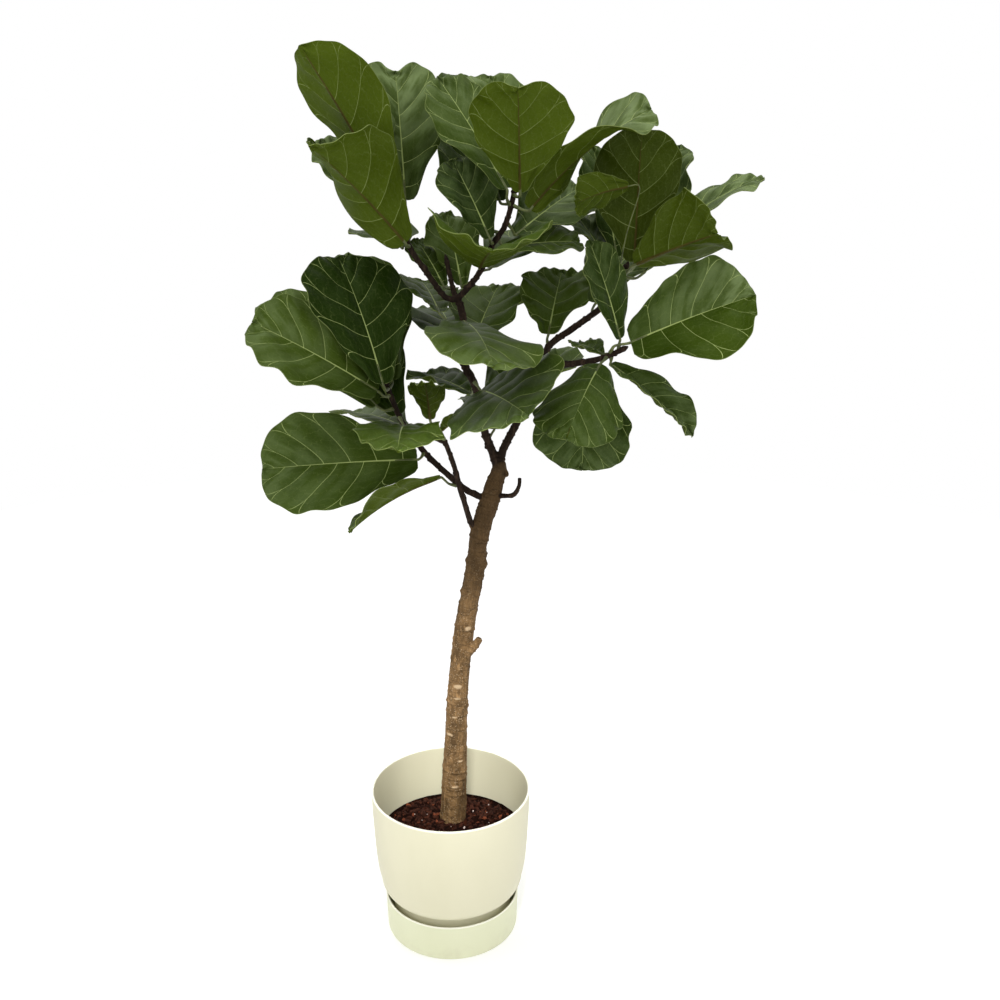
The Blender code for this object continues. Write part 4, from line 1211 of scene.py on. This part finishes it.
def quilting(rng, rows, out, share, gap, quilt):
    """How the blade swells between its side ribs, with slower waves over all of it."""
    dome = 1 - np.abs(1 - 2 * np.minimum(gap, 0.5)) ** 2.4
    swell = quilt * dome * np.clip(out / 0.014, 0, 1) * (1 - share ** 5)
    swell = swell * np.clip(rows / 0.12, 0.3, 1)[:, None]
    for waves in (1.3, 2.2):
        swell = swell + (0.9 * quilt / waves * np.clip(share * 2, 0, 1) * np.sin(
            math.tau * (waves * rows[:, None] + 0.8 * share * waves) + rng.uniform(0, math.tau)))
    return swell - 0.5 * quilt


def blade_sheet(form, name, s):
    """The blade's points by row, base to tip, and column, left to right; their lift, and the ribs' share."""
    rng = random.Random("blade " + name)
    scallop = rng.uniform(0.045, 0.085)
    rows = np.array([(cell + row) / s.cells for cell in range(s.cells) for row in CELL_ROWS] + [1.0])
    rows = 0.006 + rows * 0.990
    notch = NOTCHED.get(name, rng.choice((0.0, 0.0, 0.02, 0.035, 0.05)))
    point_out = rng.choice((0.0, 0.012, 0.02)) if notch == 0 else 0.0
    ripple = s.ripple * rng.uniform(0.6, 1.3)
    lobes = rng.uniform(0.010, 0.032)
    halves = []
    for side in (0, 1):
        margin = blade_margin(rng, form, scallop, LOBES.get(name, LOBE_HALF))
        beat = np.cos(math.tau * (rows * s.cells + 0.5 * side))
        place, out, share = half_grid(margin, form, rows, lobes, beat)
        place = shaped_tip(place, out / form.half, notch, point_out)
        over = np.maximum(place - 1.0, 0)[..., None]
        points = form.at(np.clip(place, 0, 1), out, side)
        points = points + over * form.length * unit(form.middle[-1] - form.middle[-2])
        gap = rib_distance(rows[:, None] * s.cells + 0.5 * side, share)
        sway = margin_sway(rng, rows, share, beat, ripple)
        lift = quilting(rng, rows, out, share, gap, s.quilt) + sway
        lift = lift * np.clip(rows / 0.10, 0, 1)[:, None]
        halves.append((points, lift, np.clip(1 - gap / 0.07, 0, 1) * (share > 0.02) * (1 - share)))
    outwards = slice(None, 0, -1)
    sheet, lift, rib = (np.concatenate([left[:, outwards], right], axis=1)
                        for left, right in zip(*halves))
    sheet[:, sheet.shape[1] // 2] = (halves[0][0][:, 0] + halves[1][0][:, 0]) / 2
    return sheet, lift, rib, rows


def sheet_normals(sheet):
    """Unit normals of a sheet of points, on the side its upper face is on."""
    by_row = np.gradient(sheet, axis=0)
    by_column = np.gradient(sheet, axis=1)
    normal = np.cross(by_column, by_row)
    size = np.linalg.norm(normal, axis=2, keepdims=True)
    return normal / np.maximum(size, 1e-12)


def make_blade(form, name, s):
    """The blade as a thin solid: a grid laid over the form, thickened, with its ribs raised below."""
    sheet, lift, rib, rows = blade_sheet(form, name, s)
    sheet = sheet + sheet_normals(sheet) * lift[..., None]
    row_count, column_count = sheet.shape[:2]
    bpy.ops.object.select_all(action="DESELECT")
    bpy.ops.mesh.primitive_grid_add(x_subdivisions=column_count - 1, y_subdivisions=row_count - 1,
                                    size=1.0, calc_uvs=True, location=(0, 0, 0))
    blade = fresh("blade_" + name)
    blade.data.uv_layers[0].name = "UVMap"
    flat = read_points(blade)
    column = np.rint((flat[:, 0] + 0.5) * (column_count - 1)).astype(int)
    row = np.rint((flat[:, 1] + 0.5) * (row_count - 1)).astype(int)
    normal = sheet_normals(sheet)[row, column]
    move_points(blade, sheet[row, column])
    apply_modifier(blade, "SOLIDIFY", thickness=s.thickness, offset=0.0, use_rim=True)

    # the blade's two faces are the two halves of its list of points
    points = read_points(blade)
    over, under = slice(0, len(flat)), slice(len(flat), 2 * len(flat))
    if ((points[under] - sheet[row, column]) * normal).sum(1).mean() >= 0:
        over, under = under, over
    from_midrib = np.abs(column - column_count // 2)
    profile = np.select([from_midrib == 0, from_midrib == 1], [1.0, 0.8], 0.0)
    depth = s.rib * (1.15 - rows[row]) * np.clip(rows[row] / 0.03, 0, 1)
    points[under] -= normal * (profile * depth + RIB_LIFT * rib[row, column])[:, None]
    points[over] -= normal * ((from_midrib == 0) * GROOVE * (1.1 - rows[row]))[:, None]
    move_points(blade, points)
    top = np.zeros(len(points), bool)
    top[over] = True
    for polygon in blade.data.polygons:
        polygon.material_index = 0 if top[list(polygon.vertices)].all() else 1
    return blade


def make_petiole(form, name, s):
    """A round stalk from inside the wood to under the blade, thicker at its foot."""
    foot, middle, neck = form.petiole
    drop = np.array(form.up[1]) * STALK_DROP
    under = [form.at(np.array([place]), np.array([0.0]), 0)[0] - drop for place in STALK_RUN]
    path = [foot + unit(foot - middle) * STALK_REACH, foot, middle, neck] + under
    route = curve_through([np.append(point, width) for point, width in zip(path, STALK_WIDTHS)],
                          BEND_POINTS)
    curve = bpy.data.curves.new("petiole", "CURVE")
    curve.dimensions = "3D"
    curve.bevel_depth = s.petiole * SLENDER.get(name, 1.0)
    curve.bevel_resolution = 3
    curve.use_fill_caps = True
    spline = curve.splines.new("POLY")
    spline.points.add(len(route) - 1)
    for point, (x, y, z, width) in zip(spline.points, route):
        point.co = (x, y, z, 1)
        point.radius = width
    only(link_new("petiole_" + name, curve))
    bpy.ops.object.convert(target="MESH")
    return bpy.context.object


class FIG_OT_leaves(Operator):
    """Grow each leaf on its solid's form: blade, ribs and petiole"""
    bl_idname = "fig.leaves"
    bl_label = "Leaves"

    def execute(self, context):
        s = context.scene.fig_leaf
        materials = [leaf_top_material(s), leaf_underside_material(s), petiole_material(s)]
        rng = random.Random(LEAF_SEED)
        for node in sorted(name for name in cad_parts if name.startswith("leaf_")):
            name = node.removeprefix("leaf_")
            form = BladeForm(node)
            blade = make_blade(form, name, s)
            stalk = make_petiole(form, name, s)
            for material in materials:
                blade.data.materials.append(material)
            stalk.data.materials.append(materials[-1])
            only(blade)
            stalk.select_set(True)
            bpy.ops.object.join()
            tone_and_shade = TONES_AND_SHADE.get(name, rng.uniform(0.2, 0.8))
            sheen = PAINTED_SHEENS.get(name, rng.uniform(0.05, 0.35))
            left, right = sheen if isinstance(sheen, tuple) else (sheen, sheen)
            for label, value in (("tone_and_shade", tone_and_shade), ("painted_sheen_left", left), ("painted_sheen_right", right)):
                keep_number(blade, label, [value] * len(blade.data.vertices))
            smooth(blade, 60)
            hand_over(blade, "leaf", [], node)
        return {"FINISHED"}


# ---------------------------------------------------------------- stage

FLOOR_RADIUS = 3.0
WHITE = (1.0, 1.0, 1.0)
LIGHT_TARGET = (0.08, 0.0, 0.9)
LIGHTS = (      # place, share of the key light's power, and size
    ("key_light", (-2.2, -4.4, 3.6), 1.0, 3.0), ("side_light", (4.0, -1.5, 3.0), 0.35, 2.4),
    ("top_light", (-0.2, 0.2, 5.2), 1.60, 4.0),
)
POT_LIGHT_PLACE, POT_LIGHT_TARGET = (0.05, -1.05, 2.05), (0.0, 0.06, 0.30)
POT_LIGHT_ANGLE = 11.0          # in degrees
CAMERA_PLACE = (0.092, -1.95, 1.52)
CAMERA_PITCH = 71.2             # up from straight down, in degrees
SENSOR_WIDTH = 36.0             # in millimetres


def floor_material(s):
    material, w, shader = new_material("pale_floor", s.floor_colour)
    tint = w.blend(w.cloud(w.place(), 3.0, 2.0), rgba(s.floor_colour, 0.985), rgba(s.floor_colour))
    for socket, value in (("Base Color", tint), ("Roughness", 0.9), ("Specular IOR Level", 0.1),
                          ("Emission Color", rgba(WHITE)), ("Emission Strength", s.glow)):
        w.put(shader.inputs[socket], value)
    return material


def light_surround(scene, strength):
    """A surround that the camera sees as white, and that lights the scene at its own strength."""
    world = scene.world or bpy.data.worlds.new("surround")
    scene.world = world
    world.use_nodes = True
    w = Wiring(world.node_tree)
    dim = world.node_tree.nodes["Background"]
    w.put(dim.inputs[0], rgba(WHITE))
    w.put(dim.inputs[1], strength)
    white = w.add("ShaderNodeBackground", {0: rgba(WHITE), 1: 1.0})
    seen = w.add("ShaderNodeLightPath").outputs["Is Camera Ray"]
    both = w.add("ShaderNodeMixShader", {0: seen, 1: dim.outputs[0], 2: white.outputs[0]})
    w.tree.links.new(both.outputs[0], world.node_tree.nodes["World Output"].inputs["Surface"])


def new_light(kind, name, place, target, power):
    """A light that shines from its place at a target."""
    bpy.ops.object.light_add(type=kind, location=place)
    light = bpy.context.object
    light.name = name
    light.data.energy = power
    light.rotation_euler = (Vector(target) - light.location).to_track_quat("-Z", "Y").to_euler()
    return light.data


class FIG_OT_stage(Operator):
    """Lay a plain pale floor, set soft studio lights and place the camera"""
    bl_idname = "fig.stage"
    bl_label = "Stage"

    def execute(self, context):
        s = context.scene.fig_stage
        bpy.ops.object.select_all(action="DESELECT")
        bpy.ops.mesh.primitive_circle_add(vertices=96, radius=FLOOR_RADIUS, fill_type="NGON",
                                          location=(0, 0, 0))
        floor = settle(fresh("studio_floor"))
        floor.data.materials.append(floor_material(s))
        light_surround(context.scene, s.sky)
        for name, place, share, size in LIGHTS:
            light = new_light("AREA", name, place, LIGHT_TARGET, s.key * share)
            light.shape = "SQUARE"
            light.size = size
        light = new_light("SPOT", "pot_light", POT_LIGHT_PLACE, POT_LIGHT_TARGET, s.pot_light)
        light.spot_size = math.radians(POT_LIGHT_ANGLE)
        light.spot_blend = 0.45
        light.shadow_soft_size = 0.12
        bpy.ops.object.camera_add(location=CAMERA_PLACE, rotation=(math.radians(CAMERA_PITCH), 0, 0))
        camera = context.object
        camera.name = "front_camera"
        camera.data.lens = s.lens
        camera.data.sensor_width = SENSOR_WIDTH
        context.scene.camera = camera
        context.scene.view_settings.view_transform = "Standard"
        return {"FINISHED"}


# ---------------------------------------------------------------- panel and registration

PANEL_ROWS = (
    ("fig_stage", ("fig.stage",)),
    ("fig_pot", ("fig.tray", "fig.pot")),
    ("fig_mix", ("fig.mix", "fig.chips")),
    ("fig_wood", ("fig.wood",)),
    ("fig_leaf", ("fig.leaves",)),
)


class FIG_PT_panel(Panel):
    """Lists the pieces of the fig and their settings"""
    bl_idname = "FIG_PT_panel"
    bl_label = "Potted fig"
    bl_space_type = "VIEW_3D"
    bl_region_type = "UI"
    bl_category = "Fig"

    def draw(self, context):
        for settings, operators in PANEL_ROWS:
            box = self.layout.box()
            group = getattr(context.scene, settings)
            for name in group.__annotations__:
                box.prop(group, name)
            for operator in operators:
                box.operator(operator)


SETTINGS = (("fig_pot", PotSettings), ("fig_mix", MixSettings), ("fig_wood", WoodSettings),
            ("fig_leaf", LeafSettings), ("fig_stage", StageSettings))
CLASSES = (PotSettings, MixSettings, WoodSettings, LeafSettings, StageSettings, FIG_OT_stage, FIG_OT_tray,
           FIG_OT_pot, FIG_OT_mix, FIG_OT_chips, FIG_OT_wood, FIG_OT_leaves, FIG_PT_panel)


def register():
    for made in CLASSES:
        bpy.utils.register_class(made)
    for name, group in SETTINGS:
        setattr(bpy.types.Scene, name, PointerProperty(type=group))


def unregister():
    for name, _ in SETTINGS:
        delattr(bpy.types.Scene, name)
    for made in reversed(CLASSES):
        bpy.utils.unregister_class(made)


def main():
    register()
    bpy.ops.fig.stage()
    bpy.ops.fig.tray()
    bpy.ops.fig.pot()
    bpy.ops.fig.mix()
    bpy.ops.fig.chips()
    bpy.ops.fig.wood()
    bpy.ops.fig.leaves()


if __name__ == "__main__":
    main()
